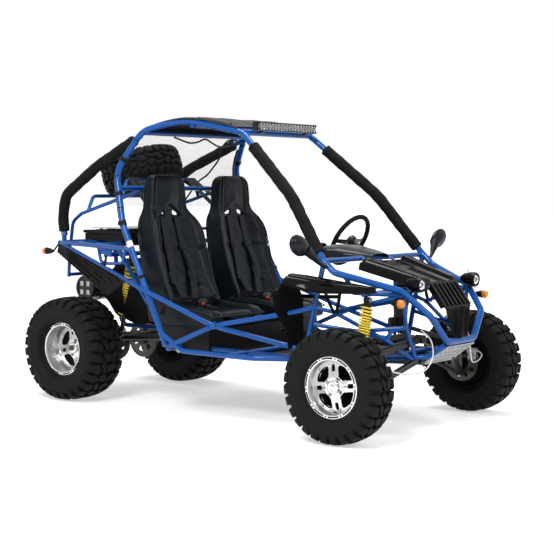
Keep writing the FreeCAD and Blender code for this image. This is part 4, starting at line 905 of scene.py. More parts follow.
def cut_out(obj, cutters):
    """Takes closed shapes out of a piece, and leaves the result as plain mesh."""
    for cutter in cutters:
        change = obj.modifiers.new("cut", "BOOLEAN")
        change.operation, change.solver, change.object = "DIFFERENCE", "EXACT", cutter
    graph = bpy.context.evaluated_depsgraph_get()
    mesh = bpy.data.meshes.new_from_object(obj.evaluated_get(graph))
    obj.modifiers.clear()
    obj.data = mesh
    for cutter in cutters:
        bpy.data.objects.remove(cutter)
    mesh.polygons.foreach_set("use_smooth", np.ones(len(mesh.polygons), bool))
    mesh.set_sharp_from_angle(angle=math.radians(40))


def seat_place(parts, side):
    """Seat parts, which are built about their own middle, set on the left or right."""
    return moved(parts, [(1, 0, 0, REAR_X), (0, 1, 0, side * SEAT_Y), (0, 0, 1, 0)])


def slot_cutter(side, way):
    """A slanted slot through the back, as a long rounded bar."""
    c, s = math.cos(0.45), math.sin(0.45)
    parts = [soft_block((0.48, 0, 0), (0.12, 0.029, 0.0130), 0.5, rows=8, cols=24)]
    parts = moved(parts, [(1, 0, 0, 0), (0, c, s * way, way * 0.056), (0, -s * way, c, 1.018)])
    return piece("cutter", seat_place(parts, side), "vinyl", "chassis")


def hollow_cutter(side):
    """A wide hollow from behind, which leaves only a thin wall round the two slots."""
    parts = [soft_block((0.448, 0, 1.016), (0.054, 0.130, 0.034), 0.3, rows=10, cols=32)]
    return piece("hollow", seat_place(parts, side), "vinyl", "chassis")


cushion_stations = []
for x, top, side_top, wide, low in ((0.600, 0.560, 0.580, 0.196, 0.47),
                                    (0.640, 0.540, 0.572, 0.202, 0.456),
                                    (0.72, 0.532, 0.566, 0.206, 0.4515),
                                    (0.80, 0.532, 0.560, 0.207, 0.4515),
                                    (0.88, 0.535, 0.556, 0.207, 0.4515),
                                    (0.95, 0.536, 0.548, 0.206, 0.4515),
                                    (0.982, 0.528, 0.536, 0.203, 0.454),
                                    (0.998, 0.505, 0.509, 0.198, 0.464)):
    half = [(0, top), (0.06, top - 0.001), (0.108, top - 0.003), (0.120, top - 0.010),
            (0.132, top + (side_top - top) * 0.3), (0.158, side_top), (wide - 0.014, side_top - 0.002),
            (wide, side_top - 0.018), (wide + 0.001, (low + top) / 2), (wide - 0.002, low + 0.008),
            (wide - 0.012, low), (0.1, low), (0, low)]
    full = half + [(-y, z) for y, z in half[::-1][1:-1]]
    cushion_stations.append([(x, y, z) for y, z in full])

CUSHION_EDGE = ((0.66, 0.556), (0.72, 0.549), (0.80, 0.543), (0.88, 0.539), (0.95, 0.531),
                (0.985, 0.519), (1.0005, 0.512))
seats = []
for side, label in ((1, "left"), (-1, "right")):
    back = capped(sewn(loft(back_sections(), 150, 112), 1.0 + side))
    cushion = loft(cushion_stations, 60, 96)
    x, y, z = (cushion[..., k] for k in range(3))
    wave = 0.002 * np.sin(40 * x + side) * np.sin(30 * y) * (z > 0.5)
    seam = 0.005 * bell(x, 0.80, 0.005) * (z > 0.51)
    cushion[..., 2] += wave - seam
    seat = piece(f"{label}_seat_back", seat_place([back], side), "vinyl", "chassis",
                 f"{label}_seat", smooth=50)
    cut_out(seat, [slot_cutter(side, 1), slot_cutter(side, -1), hollow_cutter(side)])
    pan = piece(f"{label}_seat_cushion", seat_place([capped(cushion)], side), "vinyl",
                "chassis", f"{label}_seat", smooth=50)
    seats += [seat, pan]
    z = np.concatenate([np.linspace(0.48, 1.19, 90), [1.208, 1.217]])
    edge = np.stack([spline_at(z, BOLSTER_FACE) + 0.001, spline_at(z, HALF_FRONT) + 0.0015, z], axis=-1)
    arc = [(edge[-1][0], y, 1.2185) for y in np.linspace(edge[-1][1], -edge[-1][1], 14)[1:-1]]
    line = np.concatenate([edge, arc, (edge * (1, -1, 1))[::-1]])
    front_edge = np.array([(1.0005, y, 0.512) for y in np.linspace(-0.195, 0.195, 30)])
    side_edge = np.array([(x, 0.2085, z) for x, z in CUSHION_EDGE])
    front_line = np.concatenate([side_edge * (1, -1, 1), front_edge, side_edge[::-1]])
    piping = [rod(line, 0.0032, 8), rod(curve_through(front_line, 90), 0.0032, 8)]
    piece(f"{label}_seat_piping", seat_place(piping, side), "vinyl_edge", "chassis",
          f"{label}_seat")
print("seat triangles", [triangles(part) for part in seats])

# %% [markdown]
# ## Harness
# Each seat has a five-point harness: two shoulder straps come through the slots and lie on the
# back, two lap straps come up from the sides, one more comes from the cushion, and all meet in a
# latch with a red button. A strap is a thin rounded rectangle carried along a path. The path is
# read off the same seat surface, a few millimetres out, so the straps follow the seat wherever it
# curves.

# %% Harness
def strap_path(points, lift=0.004, count=80):
    """A strap's line over the seat's front, from a few (across, height, extra lift) points."""
    line = curve_through(points, count)
    return np.stack([front_at(line[:, 0], line[:, 1]) + lift + line[:, 2], line[:, 0], line[:, 1]], axis=-1)


def slider(centre, axes, width=0.054):
    """A strap adjuster: a stamped frame with a bar across it."""
    w, h = width / 2, 0.016
    frame_line = [(0, -w, -h), (0, w, -h), (0, w, h), (0, -w, h), (0, -w, -h)]
    parts = [rod(bent([np.array(p) for p in frame_line], [0.004] * 3, 0.002), 0.0025, 8)]
    parts.append(rod([(0, -w, 0), (0, w, 0)], 0.003, 10))
    columns = np.array(axes, float)
    return moved(parts, np.concatenate([columns.T, np.asarray(centre, float)[:, None]], axis=1))


def tilt_at(z):
    """Three unit directions on the seat front: outwards, across and up along the back."""
    slope = float(spline_at(z + 0.03, MIDDLE_FACE) - spline_at(z - 0.03, MIDDLE_FACE)) / 0.06
    up = np.array([slope, 0, 1.0]) / math.hypot(slope, 1)
    return [np.array([up[2], 0, -up[0]]), np.array([0, 1.0, 0]), up]


BEHIND_SEAT = [(0.478, 0, 1.010), (0.448, 0, 1.030), (0.365, 0.37, 1.094), (0.246, 0.9, 1.186),
               (0.2235, 1, 1.2070), (0.2070, 1, 1.1995), (0.2085, 1, 1.1835), (0.2250, 1, 1.1785),
               (0.262, 0.9, 1.160)]
for side, label in ((1, "left"), (-1, "right")):
    straps, metal, red = [], [], []
    for way in (1, -1):
        shoulder = strap_path([(way * 0.054, 1.011, -0.045), (way * 0.054, 1.002, 0.0),
                               (way * 0.055, 0.955, 0.003), (way * 0.060, 0.86, 0.004),
                               (way * 0.072, 0.76, 0.010), (way * 0.070, 0.68, 0.012),
                               (way * 0.048, 0.60, 0.020), (way * 0.022, 0.555, 0.03)])
        straps.append(ribbon(shoulder, (0, 1, 0), 0.046, 0.0024))
        tail = strap_path([(way * 0.060, 0.84, 0.010), (way * 0.075, 0.77, 0.016),
                           (way * 0.083, 0.70, 0.016), (way * 0.088, 0.655, 0.013)])
        straps.append(ribbon(tail, (0, 1, 0), 0.044, 0.0022))
        for z, y in ((0.845, 0.060), (0.700, 0.076)):
            axes = tilt_at(z)
            spot = np.array([float(front_at(np.array(y), z)) + 0.012, way * y, z])
            metal += slider(spot, axes)
            straps.append(soft_block(spot + axes[0] * 0.002, (0.006, 0.025, 0.014), 0.4, 8, 20, axes=axes))
        lap = curve_through([(0.66, way * 0.206, 0.50), (0.685, way * 0.185, 0.56),
                             (0.73, way * 0.13, 0.575), (0.745, way * 0.07, 0.568),
                             (0.752, way * 0.02, 0.565)], 50)
        straps.append(ribbon(lap, (0.2, 0, 1), 0.046, 0.0024))
        metal += slider(np.array([0.738, way * 0.115, 0.576]),
                        [np.array([0, 0, 1.0]), np.array([1.0, 0, 0]), np.array([0, 1.0, 0])], 0.05)
    metal.append(soft_block((0.757, -0.012, 0.556), (0.018, 0.034, 0.026), 0.45, 14, 32))
    red.append(soft_block((0.773, -0.018, 0.556), (0.007, 0.013, 0.010), 0.4, 10, 24))
    for slot_y, end_y in ((-0.054, -0.063), (0.054, -0.020)):
        behind = [(x, side * (slot_y + (end_y - slot_y) * share), z) for x, share, z in BEHIND_SEAT]
        straps.append(ribbon(curve_through(behind, 80), (0, 1, 0), 0.044, 0.0022))
    crotch = curve_through([(0.86, 0, 0.536), (0.82, 0, 0.541), (0.785, 0, 0.549), (0.762, 0, 0.556)], 24)
    straps.append(ribbon(crotch, (0, 1, 0), 0.046, 0.0024))
    piece(f"{label}_harness_webbing", seat_place(straps, side), "webbing", "chassis")
    piece(f"{label}_harness_fittings", seat_place(metal, side), "black_paint", "chassis")
    piece(f"{label}_harness_button", seat_place(red, side), "red_plastic", "chassis")
print("harness straps on both seats")

# %% [markdown]
# ## Hood and nose
# The hood is a thin gloss-black moulding with two long raised ridges and a sunk panel between
# them. It is a height field: for each place along and across the hood one formula adds the slope,
# a slight crown, the two ridges with soft shoulders and a lip turned down at the edge. A wall is
# then added along the surface's own normals. The nose below it is a grille of upright bars.

# %% Hood
def hump(value, low, high, soft):
    """A plateau from low to high with soft sides: the product of two smooth steps."""
    return 1 / (1 + np.exp(-(value - low) / soft)) / (1 + np.exp((value - high) / soft))


s = np.linspace(0, 1, 64)[:, None]
t = np.linspace(-1, 1, 121)[None, :]
half_hood = 0.225 - 0.075 * s
hood_x = 1.689 + 0.337 * s + 0 * t
ridge = hump(np.abs(t), 0.66, 0.94, 0.012) * hump(s, 0.035, 0.985, 0.010) * (0.030 - 0.008 * s)
channel = 0.006 * hump(np.abs(t), 0.73, 0.86, 0.010) * hump(s, 0.10, 0.62, 0.010)
sunk = 0.006 * hump(t, -0.58, 0.58, 0.010) * hump(s, 0.30, 0.97, 0.010)
skirt = 0.034 * np.clip((np.abs(t) - 0.955) / 0.045, 0, 1) ** 1.2
hood_z = 0.8085 - 0.090 * s + ridge - channel - sunk - skirt + 0.003 * (1 - t**2)
hood_grid = np.stack([hood_x, half_hood * t, hood_z], axis=-1)
parts = [slab(places(hood_grid), 0.003)]
brow, chin, foot = np.array([2.026, 0, 0.7175]), np.array([2.112, 0, 0.6065]), np.array([2.130, 0, 0.462])
BARS = 7
BAR_PITCH = 0.0385
MIDDLE_COLUMN = 60
slope = chin - brow
face_up = np.array([-slope[2], 0, slope[0]]) / np.linalg.norm(slope)
along_axes = [slope / np.linalg.norm(slope), np.array([0, 1.0, 0]), face_up]


def nose_block(share, across, half, lift=0.0, square=0.12):
    """A rounded block on the louvre face: share down it, across it, half sizes down, across and out."""
    spot = brow + slope * share + face_up * lift + (0, across, 0)
    return soft_block(place(*spot), half, square, 10, 24, axes=along_axes)


reach = np.linalg.norm(slope) / 2
for k in range(BARS):
    across = (k - (BARS - 1) / 2) * BAR_PITCH
    half_wide = 0.0085 if 0 < k < BARS - 1 else 0.012
    parts.append(nose_block(0.5, across, (reach - 0.004, half_wide, 0.006), 0.003))
    parts.append(nose_block(0.5, across, (reach - 0.010, 0.0020, 0.014), -0.008))
for share in (0.0, 0.5, 1.0):
    parts.append(nose_block(share, 0, (0.007, 0.148 - 0.030 * share, 0.0045),
                            0.002 if share != 0.5 else -0.006))
v = np.linspace(0, 1, 40)[:, None]
u = np.linspace(-1, 1, 61)[None, :]
keel = 0.013 * np.exp(-((u - 0.35 + 0.7 * v) / 0.09) ** 2) + 0.006 * (1 - u**2)
dent = -0.012 * hump(np.abs(u), 0.25, 0.85, 0.03) * hump(v, 0.10, 0.90, 0.03)
lower = np.stack([chin[0] + (foot[0] - chin[0]) * v + keel + dent, (0.116 - 0.050 * v) * u,
                  chin[2] + (foot[2] - chin[2]) * v + 0 * u], axis=-1)
parts.append(painted(slab(places(lower)[:, ::-1], 0.004), 1))
for side in (-1, 1):
    parts.append(soft_block(place(1.684, side * 0.120, 0.8075), (0.016, 0.014, 0.003), 0.3, 8, 24))
for x, y in ((1.71, 0.10), (1.71, -0.10), (1.985, 0.105), (1.985, -0.105)):
    z = float(np.interp(x, hood_x[:, MIDDLE_COLUMN], hood_z[:, MIDDLE_COLUMN]))
    parts += bolt(place(x, y, z + 0.001), (0.26, 0, 0.97), 0.0055, 0.004)
piece("hood_and_nose", parts, ["gloss_black", "moulded_black"], "chassis", "hood", smooth=28)
print("hood", round(2 * half_hood[0, 0], 3), "m wide at the rear")

# %% [markdown]
# ## Dash cowl
# A soft-edged plastic cover over the instruments, high and rounded towards the driver and drawn
# out to a tongue over the hood. Each section across it is half a superellipse, and the width and
# height change along its length.

# %% Dash cowl
along = np.linspace(0, 1, 60)[:, None]
a = np.linspace(0, math.pi, 61)[None, :]
wide = np.interp(along, (0, 0.08, 0.3, 0.6, 0.85, 1.0), (0.146, 0.155, 0.155, 0.132, 0.104, 0.076))
tall = np.interp(along, (0, 0.05, 0.2, 0.45, 0.75, 1.0), (0.040, 0.058, 0.070, 0.066, 0.044, 0.020))
base = np.interp(along, (0, 0.35, 1), (0.806, 0.812, 0.824))
cowl = np.stack([1.340 + 0.330 * along + 0 * a, wide * np.sign(np.cos(a)) * np.abs(np.cos(a)) ** 0.62,
                 base + tall * np.sin(a) ** 0.62], axis=-1)
parts = [slab(places(cowl)[:, ::-1], 0.003)]
visor = np.linspace(0, math.pi, 41)
brow = np.stack([1.342 - 0.012 * np.sin(visor),
                 0.146 * np.sign(np.cos(visor)) * np.abs(np.cos(visor)) ** 0.62,
                 0.836 + 0.030 * np.sin(visor) ** 0.62], axis=-1)
parts.append(rod(places(brow), 0.0045, 10))
dial = [lathe([(0, 0), (0, 0.036), (0.012, 0.036), (0.015, 0.033), (0.012, 0.030), (0.010, 0.0)],
              place(1.360, -0.055, 0.852), (-1, 0, 0.25), 40)]
for k in range(5):
    dial.append(lathe([(0, 0), (0, 0.008), (0.010, 0.007), (0.011, 0)],
                      place(1.352, 0.026 * k, 0.852), (-1, 0, 0.2), 20))
piece("dash_cowl_cover", parts, "mirror_black", "chassis", "dash_cowl")
piece("dash_dials", dial, "gloss_black", "chassis")
print("cowl", round(float(wide.max()) * 2, 3), "m wide")

# %% [markdown]
# ## Front guards
# A flat blade along the nose tube and a broad panel that drops behind the wheel keep mud off the
# cockpit. Both are thin gloss sheets. A bilinear patch runs between two edge lines, and the folds
# between facets are kept by giving the edges corner points.

# %% Front guards
def patch(first, second, rows=24, cols=40, crown=0.0):
    """A sheet between two edge lines: a straight mix from one to the other, with a slight crown upwards."""
    def line(points):
        """The edge as cols evenly spaced points."""
        points = np.array(points, float)
        run = distance_along(points)
        return points_at(np.linspace(0, run[-1], cols), run, points)

    one, two = line(first), line(second)
    mix = np.linspace(0, 1, rows)[:, None, None]
    grid = one[None] * (1 - mix) + two[None] * mix
    grid[..., 2] += crown * (4 * mix * (1 - mix))[..., 0]
    return grid


inner = [(1.480, 0.480, 0.757), (1.560, 0.474, 0.752), (1.634, 0.466, 0.744), (1.816, 0.441, 0.722),
         (1.943, 0.441, 0.708)]
outer = [(1.478, 0.555, 0.721), (1.540, 0.545, 0.707), (1.600, 0.530, 0.692), (1.680, 0.512, 0.686),
         (1.820, 0.486, 0.691), (1.945, 0.462, 0.699)]
blade = patch(inner, outer, rows=24, cols=60)
across = np.linspace(0, 1, 24)[:, None]
relief = 0.012 * np.sin(math.pi * across) - 0.006 * bell(across, 0.42, 0.06)
blade += np.array([0, 0.62, 0.78]) * relief[..., None]
panel_inner = [(1.480, 0.482, 0.758), (1.490, 0.405, 0.642), (1.500, 0.412, 0.450), (1.505, 0.449, 0.391)]
panel_outer = [(1.478, 0.555, 0.721), (1.476, 0.631, 0.650), (1.478, 0.612, 0.584), (1.490, 0.544, 0.491),
               (1.502, 0.536, 0.403)]
panel = patch(panel_inner, panel_outer, rows=24, cols=60)
panel[..., 0] -= 0.012 * np.sin(math.pi * across) - 0.005 * hump(across, 0.30, 0.70, 0.05)
skirt = patch(outer, [(x, y + 0.002, z - 0.012) for x, y, z in outer], rows=5, cols=60)
rib = [soft_block((1.468, 0.505, 0.63 - 0.07 * k), (0.003, 0.05, 0.006), 0.4, 8, 24) for k in range(3)]
parts = [slab(places(blade), 0.003), slab(places(skirt), 0.003), painted(slab(places(panel), 0.003), 1)]
parts += moved(rib, [(1, 0, 0, REAR_X), (0, 1, 0, 0), (0, 0, 1, 0)])
for spot in ((1.62, 0.480, 0.742), (1.76, 0.462, 0.724), (1.51, 0.492, 0.750)):
    parts += bolt(place(*spot), (0, 0.5, 0.86), 0.006, 0.004)
strut_lines = [[(1.500, 0.436, 0.650), (1.600, 0.448, 0.652), (1.738, 0.452, 0.660)],
               [(1.745, 0.458, 0.728), (1.736, 0.453, 0.660), (1.706, 0.432, 0.578)],
               [(1.650, 0.468, 0.738), (1.664, 0.450, 0.650), (1.694, 0.433, 0.578)]]
for line, across in zip(strut_lines, ((0.1, 0, 1), (1, 0, 0.1), (1, 0, 0.1))):
    parts.append(painted(ribbon(curve_through(places(line), 24), across, 0.018, 0.004), 1))
piece("front_guard_sheets", both(parts), ["gloss_black", "moulded_black"], "chassis",
      "front_guards", smooth=25)

# %% [markdown]
# ## Lamps
# A lamp is a housing, a bright bowl behind and a clear lens in front. All three are turned
# profiles. The bowl is a parabola, because that is the curve that sends light from one point out
# as a beam. The indicators have amber lenses with moulded ribs, made by letting the radius of the
# lens wave a little as the profile is turned.

# %% Lamps
def headlight(centre):
    """Housing, bowl, bulb and lens of one headlight that looks forwards."""
    r = np.linspace(0.0315, 0.004, 14)
    bowl = [(0.001 - 0.030 * (1 - (x / 0.0315) ** 2), x) for x in r] + [(-0.0295, 0.0)]
    housing = [(-0.078, 0.0), (-0.078, 0.014), (-0.070, 0.022), (-0.046, 0.030), (-0.016, 0.0362),
               (-0.004, 0.037), (0.002, 0.0365), (0.003, 0.034), (0.001, 0.0325), (-0.001, 0.0318)]
    rim = [(0.001, 0.0345), (0.0085, 0.0335), (0.0095, 0.0300), (0.0085, 0.0262), (0.0060, 0.0262),
           (0.0040, 0.0300), (0.001, 0.0345)]
    glass = [(0.0005, 0.0325), (0.002, 0.0325), (0.0045, 0.026), (0.0062, 0.015), (0.0068, 0.0),
             (0.0058, 0.0), (0.0052, 0.015), (0.0035, 0.026), (0.0005, 0.0322)]
    axis = (1, 0, -0.03)
    shell = [lathe(housing, centre, axis, 56), lathe(rim, centre, axis, 56)]
    shell += [rod([np.array(centre) + (-0.062 + 0.012 * k, 0, 0.026 + 0.0025 * k),
                   np.array(centre) + (-0.058 + 0.012 * k, 0, 0.033 + 0.0018 * k)], 0.002, 6)
              for k in range(4)]
    bulb = [lathe([(-0.028, 0), (-0.028, 0.006), (-0.018, 0.006), (-0.010, 0.0045), (-0.006, 0)],
                  centre, axis, 20)]
    bright = [lathe(bowl, centre, axis, 56), *bulb]
    return shell, bright, [lathe(glass, centre, axis, 48)]


def indicator(centre, way):
    """Rubber body and ribbed lens of one indicator; way is where it looks."""
    base = [(-0.048, 0.0), (-0.048, 0.007), (-0.040, 0.010), (-0.022, 0.0165), (-0.004, 0.0195),
            (0.000, 0.0195), (0.000, 0.017), (0.000, 0.0)]
    u = np.linspace(0, 1, 26)
    lens_line = np.stack([np.concatenate([[0.0], 0.0005 + 0.026 * u]),
                          np.concatenate([[0.018], 0.0195 * (1 - u**5) ** 0.4])], axis=-1)
    lens_line[1:-1, 1] += 0.0005 * np.sin(lens_line[1:-1, 0] * 1500)
    return [lathe(base, centre, way, 40)], [lathe(lens_line, centre, way, 40)]


shells, bright, glass = (both(kind) for kind in headlight(place(2.062, 0.259, 0.722)))
stalk = [rod(places([(2.020, 0.259, 0.700), (2.022, 0.272, 0.688), (2.022, 0.290, 0.676)]), 0.007, 12)]
shells += both(stalk + bolt(place(2.020, 0.259, 0.7615), (0, 0, 1), 0.005, 0.004))
piece("headlight_housings", shells, "gloss_black", "chassis", "headlights")
piece("headlight_bowls", bright, "chrome", "chassis", "headlights")
piece("headlight_lenses", glass, "lens_glass", "chassis", "headlights")
rubber, amber = [], []
for spot, way in (((2.032, 0.399, 0.640), (1, 0.12, 0)), ((-0.260, 0.413, 0.795), (-1, 0.12, 0))):
    body, lens_part = indicator(place(*spot), way)
    rubber += body
    amber += lens_part
rubber.append(rod(places([(1.990, 0.393, 0.640), (1.996, 0.345, 0.650), (2.006, 0.300, 0.668)]), 0.005, 12))
rubber.append(rod(places([(-0.214, 0.408, 0.795), (-0.204, 0.404, 0.808), (-0.186, 0.397, 0.834)]),
                  0.005, 12))
piece("indicator_bodies", both(rubber), "trim_black", "chassis", "turn_signals")
piece("indicator_lenses", both(amber), "amber", "chassis", "turn_signals")
print("lamps:", len(shells), "housing parts,", len(amber) * 2, "amber lenses")

# %% [markdown]
# ## Light bar
# A finned black extrusion with two rows of small bright bowls behind one clear window. One bowl is
# worked out once and its grid is then copied to every place in the two rows at the same time.

# %% Light bar
BAR_HALF, BAR_LOW, BAR_HIGH, BAR_BACK, BAR_FRONT = 0.254, 1.450, 1.496, 1.046, 1.092
fin_y = np.linspace(-BAR_HALF + 0.012, BAR_HALF - 0.012, 44)
outline = np.array([(BAR_BACK + 0.014, BAR_LOW), (BAR_FRONT - 0.004, BAR_LOW),
                    (BAR_FRONT, BAR_LOW + 0.003), (BAR_FRONT, BAR_LOW + 0.006),
                    (BAR_FRONT - 0.007, BAR_LOW + 0.008), (BAR_FRONT - 0.007, BAR_HIGH - 0.008),
                    (BAR_FRONT, BAR_HIGH - 0.006), (BAR_FRONT, BAR_HIGH - 0.003),
                    (BAR_FRONT - 0.004, BAR_HIGH), (BAR_BACK + 0.014, BAR_HIGH),
                    (BAR_BACK + 0.010, BAR_HIGH - 0.006), (BAR_BACK + 0.010, BAR_LOW + 0.006)])


def extruded(outline, ys):
    """An outline of x and z carried across the vehicle through the given places, and closed at both ends."""
    ring = np.stack([outline[:, 0], 0 * outline[:, 0], outline[:, 1]], axis=-1)
    return capped(places(ring[None] + np.array([(0, y, 0) for y in ys])[:, None]))


shell = [extruded(outline, (-BAR_HALF + 0.006, BAR_HALF - 0.006))]
fin_outline = np.array([(BAR_BACK, BAR_LOW + 0.002), (BAR_BACK + 0.016, BAR_LOW + 0.0005),
                        (BAR_BACK + 0.016, BAR_HIGH - 0.0005), (BAR_BACK, BAR_HIGH - 0.002)])
shell += [extruded(fin_outline, (y - 0.0013, y + 0.0013)) for y in fin_y]
cap_outline = grown(outline, 1.03)
shell += [extruded(cap_outline, (y - 0.004, y + 0.004)) for y in (-BAR_HALF + 0.004, BAR_HALF - 0.004)]
for y in (-0.19, 0.19):
    shell += [drum(-0.006, 0.006, 0.012, place(1.062, y, 1.450), (0, 1, 0), 24)]
    shell += [soft_block(place(1.052, y, 1.4445), (0.024, 0.010, 0.003), 0.2)]
r = np.linspace(0.0098, 0.0022, 8)
bowl = lathe([(0.0, 0.0112), (0.0, 0.0100)] + [(-0.010 * (1 - (x / 0.0098) ** 2), x) for x in r]
             + [(-0.0100, 0.0)], (0, 0, 0), (1, 0, 0), 20)
spots = np.array([(BAR_FRONT - 0.0065, y, z) for z in (1.4625, 1.4835)
                  for y in np.linspace(-BAR_HALF + 0.022, BAR_HALF - 0.022, 20)])
bowls = [(bowl[0] + place(*spot), bowl[1]) for spot in spots]
dots = [soft_block(place(*(spot + (-0.0075, 0, 0))), (0.0012, 0.003, 0.003), 0.5, 6, 12) for spot in spots]
window = [soft_block(place(BAR_FRONT - 0.0022, 0, (BAR_LOW + BAR_HIGH) / 2),
                     (0.0012, BAR_HALF - 0.010, 0.0165), 0.1, 8, 24)]
piece("light_bar_housing", shell, "black_paint", "chassis", "light_bar", smooth=25)
piece("light_bar_bowls", bowls, "chrome", "chassis", "light_bar")
piece("light_bar_emitters", dots, "white_band", "chassis", "light_bar")
piece("light_bar_window", window, "lens_glass", "chassis", "light_bar")
print("light bar with", len(spots), "bowls")

# %% [markdown]
# ## Mirrors
# Each mirror is a drop-shaped shell on a bent stalk with a ball joint. The shell is a ball
# stretched across, flattened behind and drawn in towards the stalk. Its glass is a separate disc
# of the same outline, set a little into the rim that faces the driver.

# %% Mirrors
u = np.linspace(-math.pi / 2, math.pi / 2, 30)[:, None]
v = np.linspace(0, 2 * math.pi, 56, endpoint=False)[None, :]
out = np.sin(u) + 0 * v
ring = np.cos(u) ** 0.72
neck = 1 - 0.38 * np.clip(-out, 0, 1) ** 1.4
deep = np.where(np.cos(v) > 0, 0.030, 0.009)
shape = np.stack([ring * np.cos(v) * deep, out * 0.073, ring * np.sin(v) * 0.048 * neck], axis=-1)
tilt = math.radians(22)
lean_of = np.array([(1, 0, 0), (0, math.cos(tilt), math.sin(tilt)), (0, -math.sin(tilt), math.cos(tilt))])
head_place = place(1.628, 0.630, 0.899)
shells = [sheet(shape @ lean_of + head_place, wrap_cols=True)]
disc = np.stack([-0.0105 + 0 * ring * v, out * 0.066, ring * np.sin(v) * 0.042 * neck], axis=-1)
disc[..., 0] += 0.0018 * ring * np.sign(np.cos(v))
glass = [sheet(disc @ lean_of + head_place, wrap_cols=True)]
stalk = bent([place(1.638, 0.590, 0.882), place(1.658, 0.520, 0.822), place(1.664, 0.492, 0.803),
              place(1.668, 0.468, 0.800)], [0.05, 0.02])
run = np.linspace(0, 1, len(stalk))
shells += [rod(stalk, np.interp(run, (0, 0.2, 0.55, 0.8, 1), (0.026, 0.021, 0.012, 0.008, 0.007)), 24)]
shells += [lathe([(-0.010, 0), (-0.010, 0.011), (0.004, 0.013), (0.010, 0.009), (0.010, 0)],
                 place(1.667, 0.474, 0.800), (0, 1, 0), 24)]
piece("mirror_shells", both(shells), "mirror_black", "chassis", "mirrors", smooth=60)
piece("mirror_glass", both(glass), "mirror_glass", "chassis", "mirrors", smooth=60)
print("two mirrors")

# %% [markdown]
# ## Steering wheel
# A foam-gripped ring on three pressed spokes. The grip is a torus whose radius waves slightly for
# the fingers. The wheel turns on the steering body, so everything here rides on that body.

# %% Steering wheel
WHEEL_HUB = place(1.300, 0.277, 0.890)
slope = math.radians(28)
wheel_down = np.array([math.cos(slope), 0, -math.sin(slope)])
wheel_up = np.array([math.sin(slope), 0, math.cos(slope)])
wheel_across = np.array([0, 1.0, 0])
RING_R, GRIP_R = 0.140, 0.0125
SPOKE_ACROSS = np.array([-1, -0.8, 0.8, 1, 0.8, -0.8])
SPOKE_DEPTH = np.array([0, -0.002, -0.002, 0, 0.002, 0.002])
a = np.linspace(0, 2 * math.pi, 144, endpoint=False)[:, None]
b = np.linspace(0, 2 * math.pi, 24, endpoint=False)[None, :]
grip = GRIP_R + 0.0008 * np.cos(24 * a) * np.clip(-np.cos(b), 0, 1)
ring = RING_R + grip * np.cos(b)
torus = (ring * np.cos(a))[..., None] * wheel_across
torus = torus + (ring * np.sin(a))[..., None] * wheel_up
torus = torus + (grip * np.sin(b) + 0 * a)[..., None] * wheel_down
grips = [sheet(torus + WHEEL_HUB, wrap_rows=True, wrap_cols=True)]
metal, black = [], []
for way in (wheel_across, -wheel_across, -wheel_up):
    line = curve_through([WHEEL_HUB + wheel_down * 0.016 + way * 0.018,
                          WHEEL_HUB + wheel_down * 0.015 + way * 0.06,
                          WHEEL_HUB + wheel_down * 0.003 + way * 0.115, WHEEL_HUB + way * 0.136], 30)
    side = np.cross(way, wheel_down)
    widths = np.interp(np.linspace(0, 1, 30), (0, 0.5, 0.85, 1), (0.034, 0.026, 0.022, 0.020))
    spread = widths[:, None] * SPOKE_ACROSS / 2
    grid = line[:, None] + side * spread[..., None] + wheel_down * SPOKE_DEPTH[None, :, None]
    black.append(capped(grid))
    for k in (0.042, 0.066, 0.088):
        black.append(drum(-0.0035, 0.0015, 0.0062, WHEEL_HUB + wheel_down * 0.0125 + way * k,
                          wheel_down, 20))
black.append(lathe([(-0.004, 0.0), (-0.004, 0.026), (0.002, 0.032), (0.020, 0.032), (0.030, 0.022),
                    (0.032, 0.012), (0.405, 0.011), (0.405, 0)], WHEEL_HUB, wheel_down, 40))
for k in range(6):
    spin = k * math.pi / 3
    from_hub = math.cos(spin) * wheel_across + math.sin(spin) * wheel_up
    spot = WHEEL_HUB + 0.021 * from_hub - wheel_down * 0.002
    metal += bolt(spot, -wheel_down, 0.0042, 0.004)
metal.append(lathe([(0, 0), (0, 0.013), (0.004, 0.012), (0.007, 0.008), (0.008, 0)],
                   WHEEL_HUB - wheel_down * 0.003, -wheel_down, 32))
bellows = np.stack([np.linspace(0.325, 0.395, 40),
                    0.017 + 0.004 * np.abs(np.sin(np.linspace(0, 7 * math.pi, 40)))], axis=-1)
black.append(lathe(np.concatenate([[(0.325, 0.011)], bellows, [(0.395, 0.011)]]), WHEEL_HUB,
                   wheel_down, 32))
piece("steering_grip", grips, "foam", "steering_wheel", "steering_wheel", smooth=60)
piece("steering_spokes", black, "black_paint", "steering_wheel", "steering_wheel")
piece("steering_fittings", metal, "steel", "steering_wheel", "steering_wheel")
print("steering wheel", round(2 * (RING_R + GRIP_R), 3), "m across")

# %% [markdown]
# ## Foam pads
# Split foam sleeves are pushed over the front pillars and the rear stays. Each is a tube along the
# bent pipe's own centre line. Its radius dips at the seam, waves a little along its length, and
# closes softly at both ends.

# %% Foam pads
def sleeve(path, radius, seam=1.2):
    """A foam tube: radius with small folds along it, a groove on one side and rounded ends."""
    side, up = ring_frames(path, (0.13, 0.21, 0.97))
    run = distance_along(path)
    turn = np.linspace(0, 2 * math.pi, 36, endpoint=False)[None, :]
    fold = 0.0007 * np.sin(run[:, None] * 43 + 2 * turn) + 0.0006 * np.sin(run[:, None] * 97 - turn)
    groove = 0.004 * np.exp(-((np.angle(np.exp(1j * (turn - seam)))) / 0.09) ** 2)
    end = np.minimum(run, run[-1] - run)[:, None]
    round_off = 0.006 * np.clip(1 - end / 0.006, 0, 1) ** 2
    r = radius + fold - groove - round_off
    ring = np.cos(turn)[..., None] * side[:, None] + np.sin(turn)[..., None] * up[:, None]
    return capped(path[:, None] + ring * r[..., None])


